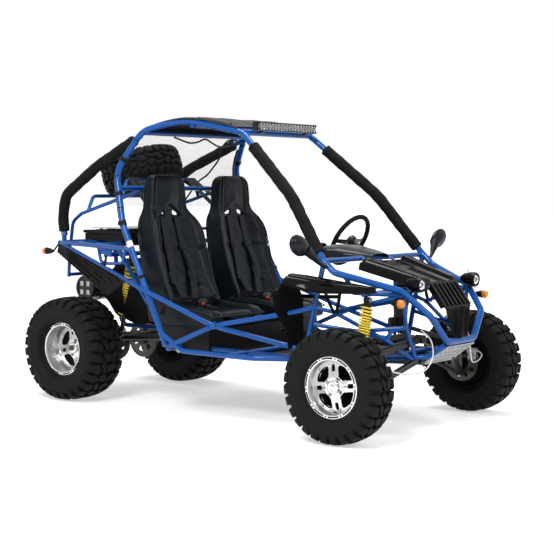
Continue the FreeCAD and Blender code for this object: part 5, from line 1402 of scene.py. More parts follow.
def even(path, count):
    """The same line with evenly spaced points, packed closer at both ends."""
    run = distance_along(path)
    share = np.concatenate([[0, 0.002, 0.005, 0.009], np.linspace(0.014, 0.986, count),
                            [0.991, 0.995, 0.998, 1]])
    return points_at(share * run[-1], run, path)


pillar_line = even(bent([place(1.108, 0.314, 1.3685), place(1.400, 0.385, 1.126),
                         place(1.614, 0.447, 0.856)], [0.5]), 110)
stay_line = even(bent([place(0.400, 0.418, 1.400), place(0.097, 0.387, 1.262),
                       place(-0.140, 0.386, 1.105), place(-0.160, 0.386, 0.990),
                       place(-0.151, 0.386, 0.905)], [0.3, 0.1, 0.1]), 130)
pads = [sleeve(pillar_line, 0.0295, 2.4), sleeve(stay_line, 0.0295, 2.0)]
ties = []
for line, spots in ((pillar_line, (0.03, 0.97)), (stay_line, (0.04, 0.55, 0.96))):
    for share in spots:
        k = int(share * (len(line) - 1))
        axis = line[min(k + 1, len(line) - 1)] - line[k - 1]
        ties.append(collar(-0.0024, 0.0024, 0.0285, 0.0306, line[k], axis, 40))
        ties.append(soft_block(line[k] + (0.004, 0.029, 0.004), (0.004, 0.0035, 0.003), 0.3, 8, 16))
piece("foam_sleeves", both(pads), "foam", "chassis", "foam_pads", smooth=60)
piece("foam_ties", both(ties), "trim_black", "chassis", "foam_pads")
print("foam sleeves on four tubes")

# %% [markdown]
# ## Coil springs
# A spring is a round wire whose centre runs along a helix. The helix is written in the shock's own
# frame, with one axis along the damper, and the wire's circle is carried along it by the same
# frames as every other tube. The pitch is wider at both ends than in the middle.

# %% Shock absorbers
def shock_parts(top, low, turns, mean_r, wire_r):
    """Spring, bright parts and dark parts of one shock absorber between its two eyes."""
    top, low = np.asarray(top), np.asarray(low)
    length = np.linalg.norm(low - top)
    way = (low - top) / length
    side = np.cross(way, (1.0, 0.0, 0.0))
    side /= np.linalg.norm(side)
    other = np.cross(way, side)
    u = np.linspace(0, 1, turns * 19)
    angle = 2 * math.pi * (turns + 1.6) * (u - 0.030 * np.sin(2 * math.pi * u))
    start, span = 0.030, length * 0.70
    rise = start + span * u
    circle = np.cos(angle)[:, None] * side + np.sin(angle)[:, None] * other
    helix = top + way * rise[:, None] + mean_r * circle
    spring = [rod(helix, wire_r, 9, reference=way)]
    dark, bright = [], []
    r = mean_r + wire_r
    dark.append(lathe([(0.012, 0.0), (0.012, 0.017), (0.020, 0.018), (start - 0.006, r * 0.8),
                       (start - 0.004, r), (start - 0.001, r), (start - 0.001, 0.016),
                       (length * 0.56, 0.0155), (length * 0.565, 0.009), (length * 0.565, 0.0)], top,
                      way, 36))
    foot = start + span + 0.001
    dark.append(lathe([(foot, 0.0), (foot, r), (foot + 0.004, r), (foot + 0.006, r * 0.8),
                       (foot + 0.012, 0.013), (length - 0.012, 0.012), (length - 0.012, 0.0)], top,
                      way, 36))
    bright.append(drum(length * 0.55, foot + 0.002, 0.007, top, way, 24))
    for centre in (top, low):
        dark.append(drum(-0.013, 0.013, 0.014, centre, (1, 0, 0), 32))
        bright.append(drum(-0.0165, 0.0165, 0.007, centre, (1, 0, 0), 24))
        for end in (-1, 1):
            bright += bolt(centre + np.array([0.0165 * end, 0, 0]), (end, 0, 0), 0.0085, 0.006)
    return spring, bright, dark


springs, bright, dark = [], [], []
SHOCKS = ((place(1.850, 0.385, 0.648), place(1.850, 0.440, 0.385), 12, 0.0045),
          (place(0.300, 0.322, 0.772), place(0.205, 0.300, 0.380), 15, 0.0052))
for top, low, turns, wire in SHOCKS:
    a, b, c = shock_parts(top, low, turns, 0.0265, wire)
    springs += a
    bright += b
    dark += c
piece("coil_springs", both(springs), "spring_yellow", "chassis", "shock_absorbers", smooth=60)
piece("shock_bright_parts", both(bright), "steel", "chassis", "shock_absorbers")
piece("shock_bodies", both(dark), "black_paint", "chassis", "shock_absorbers")
print("four coil springs")

# %% [markdown]
# ## Spare wheel
# The spare is the same tyre and wheel at a smaller size, laid back on its carrier. A matrix of
# three columns turns the wheel's own frame: its axle leans twenty degrees from upright.

# %% Spare wheel
lean = math.radians(20)
fore, up = (math.cos(lean), 0, math.sin(lean)), (-math.sin(lean), 0, math.cos(lean))
centre = place(0.073, 0, 1.246)
spare_frame = [(fore[0], up[0], 0, centre[0]), (0, 0, -1, centre[1]), (fore[2], up[2], 0, centre[2])]
SPARE_SCALE = 0.80
shape = moved(tyre_parts(radius=0.2286, half=0.089, bead=0.0552, lip=LIP * SPARE_SCALE + 0.002,
                         well=WELL * SPARE_SCALE), spare_frame)
piece("spare_tyre_rubber", shape, "rubber", "chassis", "spare_tyre", smooth=40)
shape = moved(rim_parts(0.0552 / SPARE_SCALE, LIP + 0.002, WELL, 0.020, 0.016, 0.3),
              [(SPARE_SCALE, 0, 0, 0), (0, SPARE_SCALE, 0, 0), (0, 0, SPARE_SCALE, 0)])
piece("spare_wheel", moved(shape, spare_frame), ["aluminium", "wheel_black", "cast_aluminium"],
      "chassis", "spare_rim")
print("spare wheel leaning", round(math.degrees(lean)), "degrees")

# %% [markdown]
# ## Engine and exhaust
# The engine shows through the rear frame. Its case is a prism with rounded corners, the cylinder a
# stack of thin square fins with round corners, and the covers are turned profiles. Every rounded
# outline comes from one rule, which lays an arc into each corner of a polygon.

# %% Engine
def rounded(points, radius, steps=5):
    """A closed outline whose corners are arcs of the given radius."""
    points = np.asarray(points, float)
    ring = []
    for before, corner, after in zip(np.roll(points, 1, axis=0), points, np.roll(points, -1, axis=0)):
        back, on = before - corner, after - corner
        back, on = back / np.linalg.norm(back), on / np.linalg.norm(on)
        half = math.acos(np.clip(back @ on, -1, 1)) / 2
        cut = radius / math.tan(half)
        a, b = corner + back * cut, corner + on * cut
        t = np.linspace(0, 1, steps)[:, None]
        ring.append((1 - t) ** 2 * a + 2 * t * (1 - t) * corner + t**2 * b)
    return np.concatenate(ring)


def profile_block(outline, low, high, soft=0.004):
    """An outline in x and z carried from low to high along Y, with a small bevel at both ends."""
    middle = outline.mean(axis=0)
    arm = outline - middle
    inset = middle + arm * (1 - soft / np.linalg.norm(arm, axis=1, keepdims=True))
    rings = []
    for y, ring in ((low, inset), (low + soft, outline), (high - soft, outline), (high, inset)):
        rings.append(np.stack([ring[:, 0], np.full(len(ring), y), ring[:, 1]], axis=-1))
    return capped(places(np.array(rings)))


def axis_y(profile, x, y, z, count=48):
    """A turned profile whose axis lies across the vehicle."""
    return lathe(profile, place(x, y, z), (0, 1, 0), count)


case = rounded([(0.130, 0.410), (0.370, 0.410), (0.400, 0.440), (0.400, 0.550), (0.350, 0.585),
                (0.210, 0.592), (0.140, 0.540), (0.120, 0.470)], 0.018)
cast = [profile_block(case, -0.095, 0.085),
        profile_block(rounded([(0.180, 0.400), (0.380, 0.400), (0.380, 0.4095), (0.180, 0.4095)],
                              0.002), -0.165, 0.165, 0.001)]
cast += [profile_block(grown(case, 1.02), y, y + 0.006, 0.001) for y in (-0.010, 0.070, -0.088)]
CYLINDER_X, CYLINDER_Z, FINS = 0.400, 0.496, 13
fin = rounded([(-0.058, -0.058), (0.058, -0.058), (0.058, 0.058), (-0.058, 0.058)], 0.016)
for k in range(FINS):
    x = CYLINDER_X + 0.0062 * k
    ring = np.insert(fin + (0, CYLINDER_Z), 0, x, axis=1)
    cast.append(capped(places(np.stack([ring, ring + (0.0022, 0, 0)]))))
cast.append(drum(-0.012, 0.090, 0.045, place(CYLINDER_X, 0, CYLINDER_Z), (1, 0, 0), 40))
cast.append(soft_block(place(0.490, 0, CYLINDER_Z), (0.014, 0.044, 0.040), 0.25, 14, 32))
belt = rounded([(0.108, 0.440), (0.150, 0.415), (0.300, 0.418), (0.385, 0.440), (0.408, 0.495),
                (0.385, 0.550), (0.330, 0.573), (0.180, 0.542), (0.115, 0.515)], 0.022)
cover = [profile_block(belt, 0.112, 0.176, 0.010)]
cover += [axis_y([(0.176, 0.0), (0.176, 0.060), (0.181, 0.056), (0.183, 0.0)], 0.330, 0, 0.495),
          axis_y([(0.176, 0.0), (0.176, 0.046), (0.182, 0.042), (0.184, 0.0)], 0.170, 0, 0.478)]
for k in range(6):
    cover.append(soft_block(place(0.215 + 0.012 * k, 0.1765, 0.487),
                            (0.0025, 0.004, 0.038 - 0.003 * k), 0.3, 8, 16))
FAN_X, FAN_Z, FAN_BLADES = 0.310, 0.500, 16
cover.append(axis_y([(-0.095, 0.0), (-0.095, 0.076), (-0.150, 0.078), (-0.157, 0.070), (-0.157, 0.058),
                     (-0.140, 0.054), (-0.136, 0.022), (-0.150, 0.020), (-0.152, 0.0)], FAN_X, 0, FAN_Z))
for k in range(FAN_BLADES):
    a = 2 * math.pi * k / FAN_BLADES
    spot = place(FAN_X + 0.039 * math.cos(a), -0.148, FAN_Z + 0.039 * math.sin(a))
    cover.append(soft_block(spot, (0.019, 0.007, 0.0018), 0.3, 8, 16,
                            axes=[(math.cos(a), 0, math.sin(a)), (0, 1, 0),
                                  (-math.sin(a), 0, math.cos(a))]))
fittings = []
for x, z in ((0.126, 0.455), (0.150, 0.425), (0.250, 0.424), (0.350, 0.436), (0.398, 0.480),
             (0.385, 0.540), (0.320, 0.562), (0.230, 0.548), (0.140, 0.525)):
    fittings += bolt(place(x, 0.176, z), (0, 1, 0), 0.0045, 0.004)
for y, z in ((0.034, 0.530), (-0.034, 0.530), (0.034, 0.462), (-0.034, 0.462)):
    fittings += bolt(place(0.504, y, z), (1, 0, 0), 0.006, 0.006)
piece("engine_castings", cast, "cast_aluminium", "chassis", "engine", smooth=30)
piece("engine_covers", cover, "engine_black", "chassis", "engine", smooth=30)
piece("engine_bolts", fittings, "steel", "chassis", "engine")
air = [lathe([(0.0, 0.0), (0.0, 0.030), (0.006, 0.035), (0.110, 0.035), (0.116, 0.030), (0.118, 0.016),
              (0.118, 0.0)], place(0.112, 0, 0.618), (1, 0, 0), 40)]
air += [lathe([(x, 0.0345), (x + 0.002, 0.0362), (x + 0.004, 0.0345)], place(0.112, 0, 0.618),
              (1, 0, 0), 40) for x in np.linspace(0.014, 0.098, 12)]
air += [rod(bent([place(0.228, 0, 0.618), place(0.330, 0, 0.618), place(0.395, 0, 0.540)], [0.05]),
            0.017, 24)]
piece("air_cleaner", air, "trim_black", "chassis", "engine")
carb = [soft_block(place(0.275, 0, 0.618), (0.024, 0.022, 0.026), 0.3, 14, 28),
        lathe([(0, 0), (0, 0.015), (0.020, 0.015), (0.022, 0)], place(0.275, 0, 0.640), (0, 0, 1), 24)]
OUTPUT_X, OUTPUT_Z = 0.170, 0.450
OUTPUT_TEETH = 12
OUTPUT_TOOTH = ((0, 0.027), (0.28, 0.027), (0.42, 0.035), (0.86, 0.035))
sprocket_ring = []
for k in range(OUTPUT_TEETH):
    for share, r in OUTPUT_TOOTH:
        angle = 2 * math.pi / OUTPUT_TEETH * (k + share)
        sprocket_ring.append((OUTPUT_X + r * math.cos(angle), OUTPUT_Z + r * math.sin(angle)))
carb.append(profile_block(np.array(sprocket_ring), 0.0952, 0.1018, 0.0008))
piece("carburettor_and_output_sprocket", carb, "steel", "chassis", "engine")
print("engine in", len(cast) + len(cover), "parts")

# %% [markdown]
# The exhaust is a turned can across the tail with two bands. Four square outlets with bright
# insides stand out of its right end. A bent pipe leads to it from the cylinder.

# %% Exhaust
CAN_X, CAN_Z, CAN_END = -0.140, 0.585, -0.2362
can = [(-0.001, 0.0), (-0.001, 0.052), (-0.006, 0.054), (-0.006, 0.066), (0.000, 0.072),
       (0.004, 0.0724), (0.006, 0.0716), (0.390, 0.0716), (0.394, 0.0724), (0.398, 0.072),
       (0.404, 0.064), (0.404, 0.0)]
exhaust = [lathe(can, place(CAN_X, -0.235, CAN_Z), (0, 1, 0), 72)]
exhaust.append(rod(bent([place(0.489, -0.040, 0.480), place(0.489, -0.187, 0.452),
                         place(0.080, -0.187, 0.440), place(-0.020, -0.187, 0.560),
                         place(-0.090, -0.187, 0.585)], [0.045, 0.08, 0.06]), 0.015, 24))
for y in (-0.150, 0.080):
    exhaust.append(axis_y([(y - 0.010, 0.0716), (y - 0.010, 0.0738), (y + 0.010, 0.0738),
                           (y + 0.010, 0.0716)], CAN_X, 0, CAN_Z, 72))
holes = []
for dx in (-0.024, 0.024):
    for dz in (-0.024, 0.024):
        x, z = CAN_X + dx, CAN_Z + dz
        ring = rounded([(x - 0.017, z - 0.017), (x + 0.017, z - 0.017), (x + 0.017, z + 0.017),
                        (x - 0.017, z + 0.017)], 0.004)
        inner = (ring - (x, z)) * 0.8 + (x, z)
        layers = ((ring, CAN_END), (ring, -0.2385), (inner, -0.2385), (inner, CAN_END))
        rings = [np.insert(line, 1, y, axis=1) for line, y in layers]
        holes.append(sheet(places(np.array(rings)), wrap_cols=True))
        exhaust.append(painted(profile_block(inner, -0.2366, -0.2361, 0.0001), 1))
exhaust += holes
piece("exhaust", exhaust, ["black_paint", "bright_plate"], "chassis", "muffler")
print("exhaust can", round(can[-1][0], 3), "m long,", len(holes), "outlets")

# %% [markdown]
# ## Rear axle
# One live shaft carries the toothed chain wheel and the brake disc, so they turn with both rear
# wheels. The teeth come from an outline whose radius steps between root and tip, and the disc's
# holes from a polar grid with cells left out.

# %% Rear axle
AXLE_Z = REAR["radius"]
AXLE_TEETH = 36
SHAFT_R = 0.0148


def perforated(outer, inner, y0, y1, spokes, holes_from, holes_to, x=0.0, z=AXLE_Z, share=0.5):
    """A disc with windows: a polar grid without the window cells, with their walls drawn instead."""
    cols = spokes * 8
    a = np.linspace(0, 2 * math.pi, cols, endpoint=False)
    radii = np.array([inner, holes_from, holes_to, outer])
    grid = np.stack([np.stack([x + r * np.cos(a), np.full(cols, y), z + r * np.sin(a)], axis=-1)
                     for y in (y0, y1) for r in radii])
    cells = quads(8, cols, wrap_cols=True).reshape(7, cols, 4)
    window = (np.arange(cols) % 8) < int(8 * share)
    keep = [cells[0], cells[1][~window], cells[2], cells[4], cells[5][~window], cells[6]]
    number = np.arange(8 * cols).reshape(8, cols)
    after = np.roll(number, -1, axis=1)
    for row in (0, 3):
        keep.append(np.stack([number[row], number[row + 4], after[row + 4], after[row]], axis=-1))
    for row in (1, 2):
        keep.append(np.stack([number[row], number[row + 4], after[row + 4], after[row]], axis=-1)[window])
    for edge in (0, int(8 * share)):
        at = np.arange(cols)[(np.arange(cols) % 8) == edge]
        keep.append(np.stack([number[1, at], number[2, at], number[6, at], number[5, at]], axis=-1))
    return places(grid.reshape(-1, 3)), np.concatenate(keep)


def teeth(a):
    """The sprocket's edge: teeth with sloping flanks between root and tip."""
    return 0.097 + 0.008 * np.clip(1.6 * np.cos(AXLE_TEETH * a) + 0.4, 0, 1)


steel_parts = [axis_y([(-0.486, 0.0), (-0.486, 0.0145), (0.486, 0.0145), (0.486, 0.0)], 0, 0, AXLE_Z, 32)]
a_ring = np.linspace(0, 2 * math.pi, 8 * AXLE_TEETH, endpoint=False)
edge = teeth(a_ring)
web = 0.080 + 0 * a_ring
layers = ((web, 0.0955), (edge, 0.0965), (edge, 0.1005), (web, 0.1015), (web, 0.0955))
rings = [np.stack([r * np.cos(a_ring), y + 0 * a_ring, AXLE_Z + r * np.sin(a_ring)], axis=-1)
         for r, y in layers]
steel_parts.append(sheet(places(np.array(rings)), wrap_cols=True))
steel_parts.append(perforated(0.081, 0.026, 0.0955, 0.1015, 6, 0.040, 0.072))
steel_parts.append(perforated(0.095, 0.026, -0.120, -0.116, 8, 0.038, 0.058))
dark_parts = [axis_y([(y - 0.020, SHAFT_R), (y - 0.020, 0.030), (y + 0.020, 0.030), (y + 0.020, SHAFT_R)],
                     0, 0, AXLE_Z, 32) for y in (0.099, -0.118)]
for y in (0.1015, -0.116):
    for k in range(6):
        a = k * math.pi / 3 + 0.3
        spot = place(0.024 * math.cos(a), y, AXLE_Z + 0.024 * math.sin(a))
        steel_parts += bolt(spot, (0, 1, 0), 0.004, 0.003)
left_cap = [(0.345, SHAFT_R), (0.345, 0.026), (0.388, 0.030), (0.388, SHAFT_R)]
right_cap = [(-y, r) for y, r in reversed(left_cap)]
for profile in (right_cap, left_cap):
    dark_parts.append(axis_y(profile, 0, 0, AXLE_Z, 32))
piece("axle_steel", steel_parts, "dark_steel", "rear_axle", "rear_axle")
piece("axle_hubs", dark_parts, "black_paint", "rear_axle", "rear_axle")
print("sprocket with", AXLE_TEETH, "teeth")

# %% [markdown]
# ## Net
# The net behind the seats is a fine mesh. Its cords are drawn, not painted: two families of thin
# ribbons follow the sheet between the two cage tubes, and the gaps stay open.

# %% Net
NET_LINE = [(0.455, 0.930), (0.441, 0.965), (0.388, 1.115), (0.361, 1.195), (0.357, 1.240),
            (0.373, 1.290), (0.411, 1.352), (0.462, 1.438)]
net_curve = curve_through([(x, 0, z) for x, z in NET_LINE], 200)
net_height = (0.925, 1.240, 1.440)
net_half = (0.546, 0.492, 0.427)


def net_cord(us, vs, wide, lift):
    """Flat cords on the net: u runs across from -1 to 1 and v up from 0 to 1, each cord a narrow strip."""
    index = vs * (len(net_curve) - 1)
    x = np.interp(index, np.arange(len(net_curve)), net_curve[:, 0])
    z = np.interp(index, np.arange(len(net_curve)), net_curve[:, 2])
    half = np.interp(z, net_height, net_half)
    line = np.stack([x + lift + 0 * us, half * us, z + 0 * us], axis=-1)
    step = np.gradient(line, axis=1)
    step /= np.linalg.norm(step, axis=2, keepdims=True)
    normal = np.array([1.0, 0, 0.2])
    across = np.cross(step, normal)
    across /= np.linalg.norm(across, axis=2, keepdims=True)
    grid = line[:, :, None] + across[:, :, None] * np.array([-wide / 2, wide / 2])[None, None, :, None]
    return sheets(places(grid))


CORD = 0.0005
v_rows = np.linspace(0.01, 0.99, 92)[:, None]
u_cols = np.linspace(-0.995, 0.995, 150)[:, None]
us = np.linspace(-1, 1, 24)[None, :]
vs = np.linspace(0.01, 0.99, 26)[None, :]
cords = [net_cord(us + 0 * v_rows, v_rows + 0 * us, CORD, 0.0),
         net_cord(u_cols + 0 * vs, vs + 0 * u_cols, CORD, 0.0004)]
piece("net_cords", cords, "mesh_cloth", "chassis", "rear_net", smooth=60, merge=0)
hem = []
u = np.linspace(-1, 1, 40)
for x, _, z in net_curve[[0, -1]]:
    half = np.interp(z, net_height, net_half)
    hem.append(ribbon(places(np.stack([x + 0 * u, half * u, z + 0 * u], axis=-1)), (0.3, 0, 1),
                      0.016, 0.0022))
half = np.interp(net_curve[:, 2], net_height, net_half)
for side in (-1, 1):
    hem.append(ribbon(places(np.stack([net_curve[:, 0], side * half, net_curve[:, 2]], axis=-1)[::4]),
                      (0, 1, 0), 0.014, 0.0022))
piece("net_hems", hem, "webbing", "chassis", "rear_net")
print("net with", len(v_rows) + len(u_cols), "cords")

# %% [markdown]
# ## Roof panel
# The roof is one thin sheet over the cage, arched along its length and slightly across it. Two
# pressed beads run along each side, and a black rod runs along its rear edge over the cross tube.

# %% Roof panel
roof_line = curve_through([(0.455, 0, 1.456), (0.560, 0, 1.492), (0.700, 0, 1.515), (0.860, 0, 1.503),
                           (1.000, 0, 1.466)], 56)
v = np.linspace(-1, 1, 81)[None, :]
half = np.interp(roof_line[:, 0], (0.44, 0.70, 1.01), (0.436, 0.381, 0.308))[:, None]
bead = 0.0035 * hump(np.abs(v), 0.30, 0.36, 0.006) + 0.0035 * hump(np.abs(v), 0.66, 0.72, 0.006)
bead = bead * hump(roof_line[:, :1], 0.50, 0.96, 0.006)
turned_down = 0.010 * np.clip((np.abs(v) - 0.96) / 0.04, 0, 1) ** 2
roof_z = roof_line[:, 2:] + 0.0035 + 0.008 * (1 - v**2) * 0.3 + bead - turned_down
roof = np.stack([roof_line[:, :1] + 0 * v, half * v, roof_z], axis=-1)
parts = [slab(places(roof), 0.003)]
for x in (0.52, 0.74, 0.95):
    for y in (-0.30, 0.30):
        z = float(np.interp(x, roof_line[:, 0], roof_line[:, 2])) + 0.0035
        parts += bolt(place(x, y, z), (0, 0, 1), 0.006, 0.004)
# A black rod along the roof's rear edge, over the cross tube.
rear_edge_rod = [(0.461, y, 1.4568) for y in np.linspace(-0.415, 0.415, 24)]
parts.append(rod(places(rear_edge_rod), 0.0045, 12))
piece("roof_skin", parts, "roof_black", "chassis", "roof_panel", smooth=30)
print("roof", round(2 * float(half.max()), 3), "m wide at the rear")

# %% [markdown]
# Two wiring looms hang under the rear roof tube. One droops along the tube, and the other runs
# down beside the left stay to the spare wheel's carrier.

# %% Wiring looms
droop = [(0.457, -0.165, 1.424), (0.456, -0.130, 1.416), (0.455, -0.043, 1.398), (0.455, 0.025, 1.403),
         (0.456, 0.093, 1.421), (0.452, 0.153, 1.404), (0.440, 0.235, 1.384), (0.438, 0.330, 1.392),
         (0.448, 0.400, 1.412)]
beside_stay = [(0.448, 0.385, 1.424), (0.400, 0.362, 1.420), (0.3545, 0.360, 1.375),
               (0.3367, 0.360, 1.318), (0.2965, 0.360, 1.272), (0.2485, 0.360, 1.226),
               (0.190, 0.358, 1.190), (0.140, 0.348, 1.130), (0.105, 0.331, 1.075)]
looms = [rod(curve_through(places(line), 90), 0.0050, 12) for line in (droop, beside_stay)]
piece("wiring_looms", looms, "trim_black", "chassis")
print(len(looms), "wiring looms")

# %% [markdown]
# ## Rear box
# The box behind the seats is a tub with a lid that overlaps it, two latches in front and five
# pressed ribs on top.

# %% Rear box
lid = rounded([(-0.095, 0.898), (0.220, 0.898), (0.220, 0.9155), (-0.095, 0.9155)], 0.004)
tub = rounded([(-0.088, 0.8585), (0.213, 0.8585), (0.216, 0.897), (-0.091, 0.897)], 0.008)
box_parts = [profile_block(lid, -0.300, 0.220, 0.004), profile_block(tub, -0.292, 0.212, 0.005)]
for y in (-0.20, 0.12):
    box_parts.append(soft_block(place(0.2185, y, 0.893), (0.0035, 0.018, 0.012), 0.3, 10, 20))
for k in range(5):
    box_parts.append(soft_block(place(0.062, -0.22 + 0.09 * k, 0.9162), (0.130, 0.010, 0.0022), 0.2, 8, 24))
piece("rear_box_shell", box_parts, "trim_black", "chassis", "rear_box", smooth=30)
print("rear box in", len(box_parts), "parts")

# %% [markdown]
# ## Rear fenders
# The rear fenders are flat blades with four pressed ribs that fan out towards the front. The blade
# is a bilinear grid between four corners, and the ribs lift it along its own normal.

# %% Rear fenders
def bilinear(corners, rows, cols):
    """A grid between four corners, given in order round the sheet."""
    a, b, c, d = (np.asarray(p, float) for p in corners)
    v = np.linspace(0, 1, rows)[:, None, None]
    u = np.linspace(0, 1, cols)[None, :, None]
    return (a * (1 - u) + b * u) * (1 - v) + (d * (1 - u) + c * u) * v


FENDER_ROWS, FENDER_COLS = 54, 92
FENDER_BOLTS = (4, 39, 79)
fender_corners = [(-0.180, 0.396, 0.838), (0.470, 0.552, 0.668), (0.380, 0.600, 0.590),
                  (-0.150, 0.440, 0.790)]
blade = bilinear(fender_corners, FENDER_ROWS, FENDER_COLS)
u = np.linspace(0, 1, FENDER_COLS)[None, :]
v = np.linspace(0, 1, FENDER_ROWS)[:, None]
swell = np.zeros((FENDER_ROWS, FENDER_COLS))
for k in range(4):
    middle = 0.20 + 0.20 * k
    fanned = v + (0.10 - 0.05 * k) * (u - 0.5)
    rib_length = hump(u, 0.10 + 0.03 * k, 0.92 - 0.04 * k, 0.012)
    swell += 0.0065 * hump(fanned, middle - 0.045, middle + 0.045, 0.008) * rib_length
swell += 0.006 * np.clip((v - 0.93) / 0.07, 0, 1) + 0.006 * np.clip((0.05 - v) / 0.05, 0, 1)
normal = np.cross(blade[0, -1] - blade[0, 0], blade[-1, 0] - blade[0, 0])
normal *= np.sign(normal[2]) / np.linalg.norm(normal)
blade = blade + normal * (swell[..., None] + 0.0012)
parts = [slab(places(blade), 0.003)]
for column in FENDER_BOLTS:
    parts += bolt(places(blade)[5, column], normal, 0.006, 0.004)
piece("rear_fender_blades", both(parts), "gloss_black", "chassis", "rear_fenders", smooth=30)
print("fender blades of", FENDER_ROWS, "x", FENDER_COLS, "points")

# %% [markdown]
# ## Skid plate
# The skid plate is bright metal with a pattern of slanted openings. Every opening is a cell left
# out of a grid, with a wall drawn round it.

# %% Skid plate
rows, cols = 25, 61
plate_grid = bilinear([(2.136, -0.128, 0.4275), (2.136, 0.128, 0.4275), (2.000, 0.150, 0.3315),
                       (2.000, -0.150, 0.3315)], rows, cols)
r_i, c_i = np.meshgrid(np.arange(rows - 1), np.arange(cols - 1), indexing="ij")
slant = (c_i + r_i) % 9
hole = (slant < 6) & (r_i % 6 > 0) & (c_i > 1) & (c_i < cols - 3) & (r_i > 0) & (r_i < rows - 2)
n = np.array([0.577, 0, -0.817])
top, low = plate_grid.reshape(-1, 3), plate_grid.reshape(-1, 3) + n * 0.003
number = np.arange(rows * cols).reshape(rows, cols)
cells = quads(rows, cols).reshape(rows - 1, cols - 1, 4)
solid = cells[~hole]
faces = [solid, solid[:, ::-1] + rows * cols]
full = np.pad(~hole, 1, constant_values=False)
for dr, dc, a, b in ((-1, 0, 0, 1), (1, 0, 3, 2), (0, -1, 0, 3), (0, 1, 1, 2)):
    bare = ~hole & ~full[1 + dr:rows + dr, 1 + dc:cols + dc]
    edge = cells[bare]
    faces.append(np.stack([edge[:, a], edge[:, b], edge[:, b] + rows * cols,
                           edge[:, a] + rows * cols], axis=-1))
piece("skid_plate_sheet", [(places(np.concatenate([top, low])), np.concatenate(faces))],
      "bright_plate", "chassis", "skid_plate")
print("skid plate with", int(hole.sum()), "open cells")

# %% [markdown]
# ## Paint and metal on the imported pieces
# The frame tubes, arms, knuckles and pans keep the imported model's own meshes. They only need their
# materials. A table from node to material says which piece is painted blue and which black.

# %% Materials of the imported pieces
NODE_FINISH = {
    "left_hoop": "blue_paint", "right_hoop": "blue_paint", "nose_frame": "blue_paint",
    "floor_frame": "blue_paint", "roof_bars": "blue_paint", "side_bars": "blue_paint",
    "rear_frame": "blue_paint", "swing_arm": "black_paint", "floor_pan": "trim_black",
    "front_arms": "black_paint", "left_knuckle": "dark_steel", "right_knuckle": "dark_steel",
    "tie_rods": "gold_zinc", "steering_gear": "black_paint", "pedals": "black_paint",
}
for name, material in NODE_FINISH.items():
    nodes[name].data.materials.clear()
    nodes[name].data.materials.append(materials[material])
    for face in nodes[name].data.polygons:
        face.material_index = 0
print(len(NODE_FINISH), "packed pieces painted")

# %% [markdown]
# ## Bands and hose on the cage
# A cable hose runs down behind each cage tube under black bands. The cage tube's centre line is
# written once more here, so a band can be set on it at any height and square to the tube.

# %% Bands, hose and clamps
HOOP_LINE = bent(list(places([(0.770, 0.580, 0.364), (0.440, 0.548, 0.965), (0.345, 0.497, 1.240),
                              (0.468, 0.430, 1.452), (0.700, 0.362, 1.506)])), [0.5, 0.15, 0.13])


def hoop_at(z):
    """The cage tube's centre and direction at a height on its rear part."""
    k = int(np.argmin(np.abs(HOOP_LINE[:, 2] - z)))
    way = HOOP_LINE[min(k + 3, len(HOOP_LINE) - 1)] - HOOP_LINE[max(k - 3, 0)]
    return HOOP_LINE[k], way / np.linalg.norm(way)


def band(z, wide, radius=0.0165, thick=0.0022):
    """A flat band round the cage tube."""
    centre, way = hoop_at(z)
    w = wide / 2
    return collar(-w, w, radius - 0.0006, radius + thick, centre, way, 40)


bands, white, hose = [], [], []
for z, wide in ((1.300, 0.022), (1.120, 0.018), (0.968, 0.024), (0.700, 0.014)):
    bands.append(band(z, wide))
    centre, way = hoop_at(z)
    bands.append(soft_block(centre + (-0.019, 0.004, 0), (0.008, 0.010, wide / 2), 0.3, 10, 20))
    bands.append(soft_block(centre + (0.004, 0.0185, 0), (0.006, 0.004, wide / 2.4), 0.3, 8, 16))
white.append(band(0.862, 0.034, 0.0163, 0.0006))
heights = np.linspace(0.72, 1.43, 60)
hose_line = np.array([hoop_at(z)[0] for z in heights]) + (-0.0235, -0.004, 0)
hose_line = curve_through(hose_line[::6], 80)
hose.append(rod(hose_line, 0.0058, 14))
for z in (1.40, 1.21, 1.045):
    centre, way = hoop_at(z)
    bands.append(collar(-0.002, 0.002, 0.0163, 0.0180, centre, way, 36))
piece("cage_bands", both(bands), "trim_black", "chassis")
piece("cage_white_marks", both(white), "white_band", "chassis")
piece("cable_hose", both(hose), "trim_black", "chassis")
spot, way = place(-0.1505, 0.386, 0.893), (0, 0, 1)
clamps = [collar(-0.009, 0.009, 0.0125, 0.0185, spot, way, 32),
          collar(0.009, 0.015, 0.0125, 0.0150, spot, way, 32)]
nuts = bolt(spot + (0, 0.0185, 0.004), (0, 1, 0), 0.006, 0.006)
nuts += bolt(spot + (-0.0185, 0, -0.003), (-1, 0, 0), 0.006, 0.006)
piece("stay_clamps", both(clamps), "clamp_blue", "chassis")
piece("stay_bolts", both(nuts), "steel", "chassis")
print(len(bands) * 2, "band parts")

# %% [markdown]
# ## Welds, gussets and small brackets
# Where one tube meets another, the weld shows as a rippled bead round the joint. Its ring radius
# waves a little, which gives the look of laid drops.

# %% Welds and brackets
def weld(centre, way, radius, bead=0.0028):
    """A rippled ring round a tube end: a torus whose small radius waves along the turn."""
    way = np.asarray(way, float) / np.linalg.norm(way)
    side = np.cross(way, (0.31, 0.22, 0.93))
    side /= np.linalg.norm(side)
    up = np.cross(way, side)
    turn = np.linspace(0, 2 * math.pi, 60, endpoint=False)[:, None]
    small = np.linspace(0, 2 * math.pi, 6, endpoint=False)[None, :]
    size = bead * (1 + 0.16 * np.sin(turn * 15))
    spoke = np.cos(turn)[..., None] * side + np.sin(turn)[..., None] * up
    out = (radius + size * np.cos(small))[..., None] * spoke
    along = (size * np.sin(small))[..., None] * way
    return sheet(np.asarray(centre) + out + along, wrap_rows=True, wrap_cols=True)


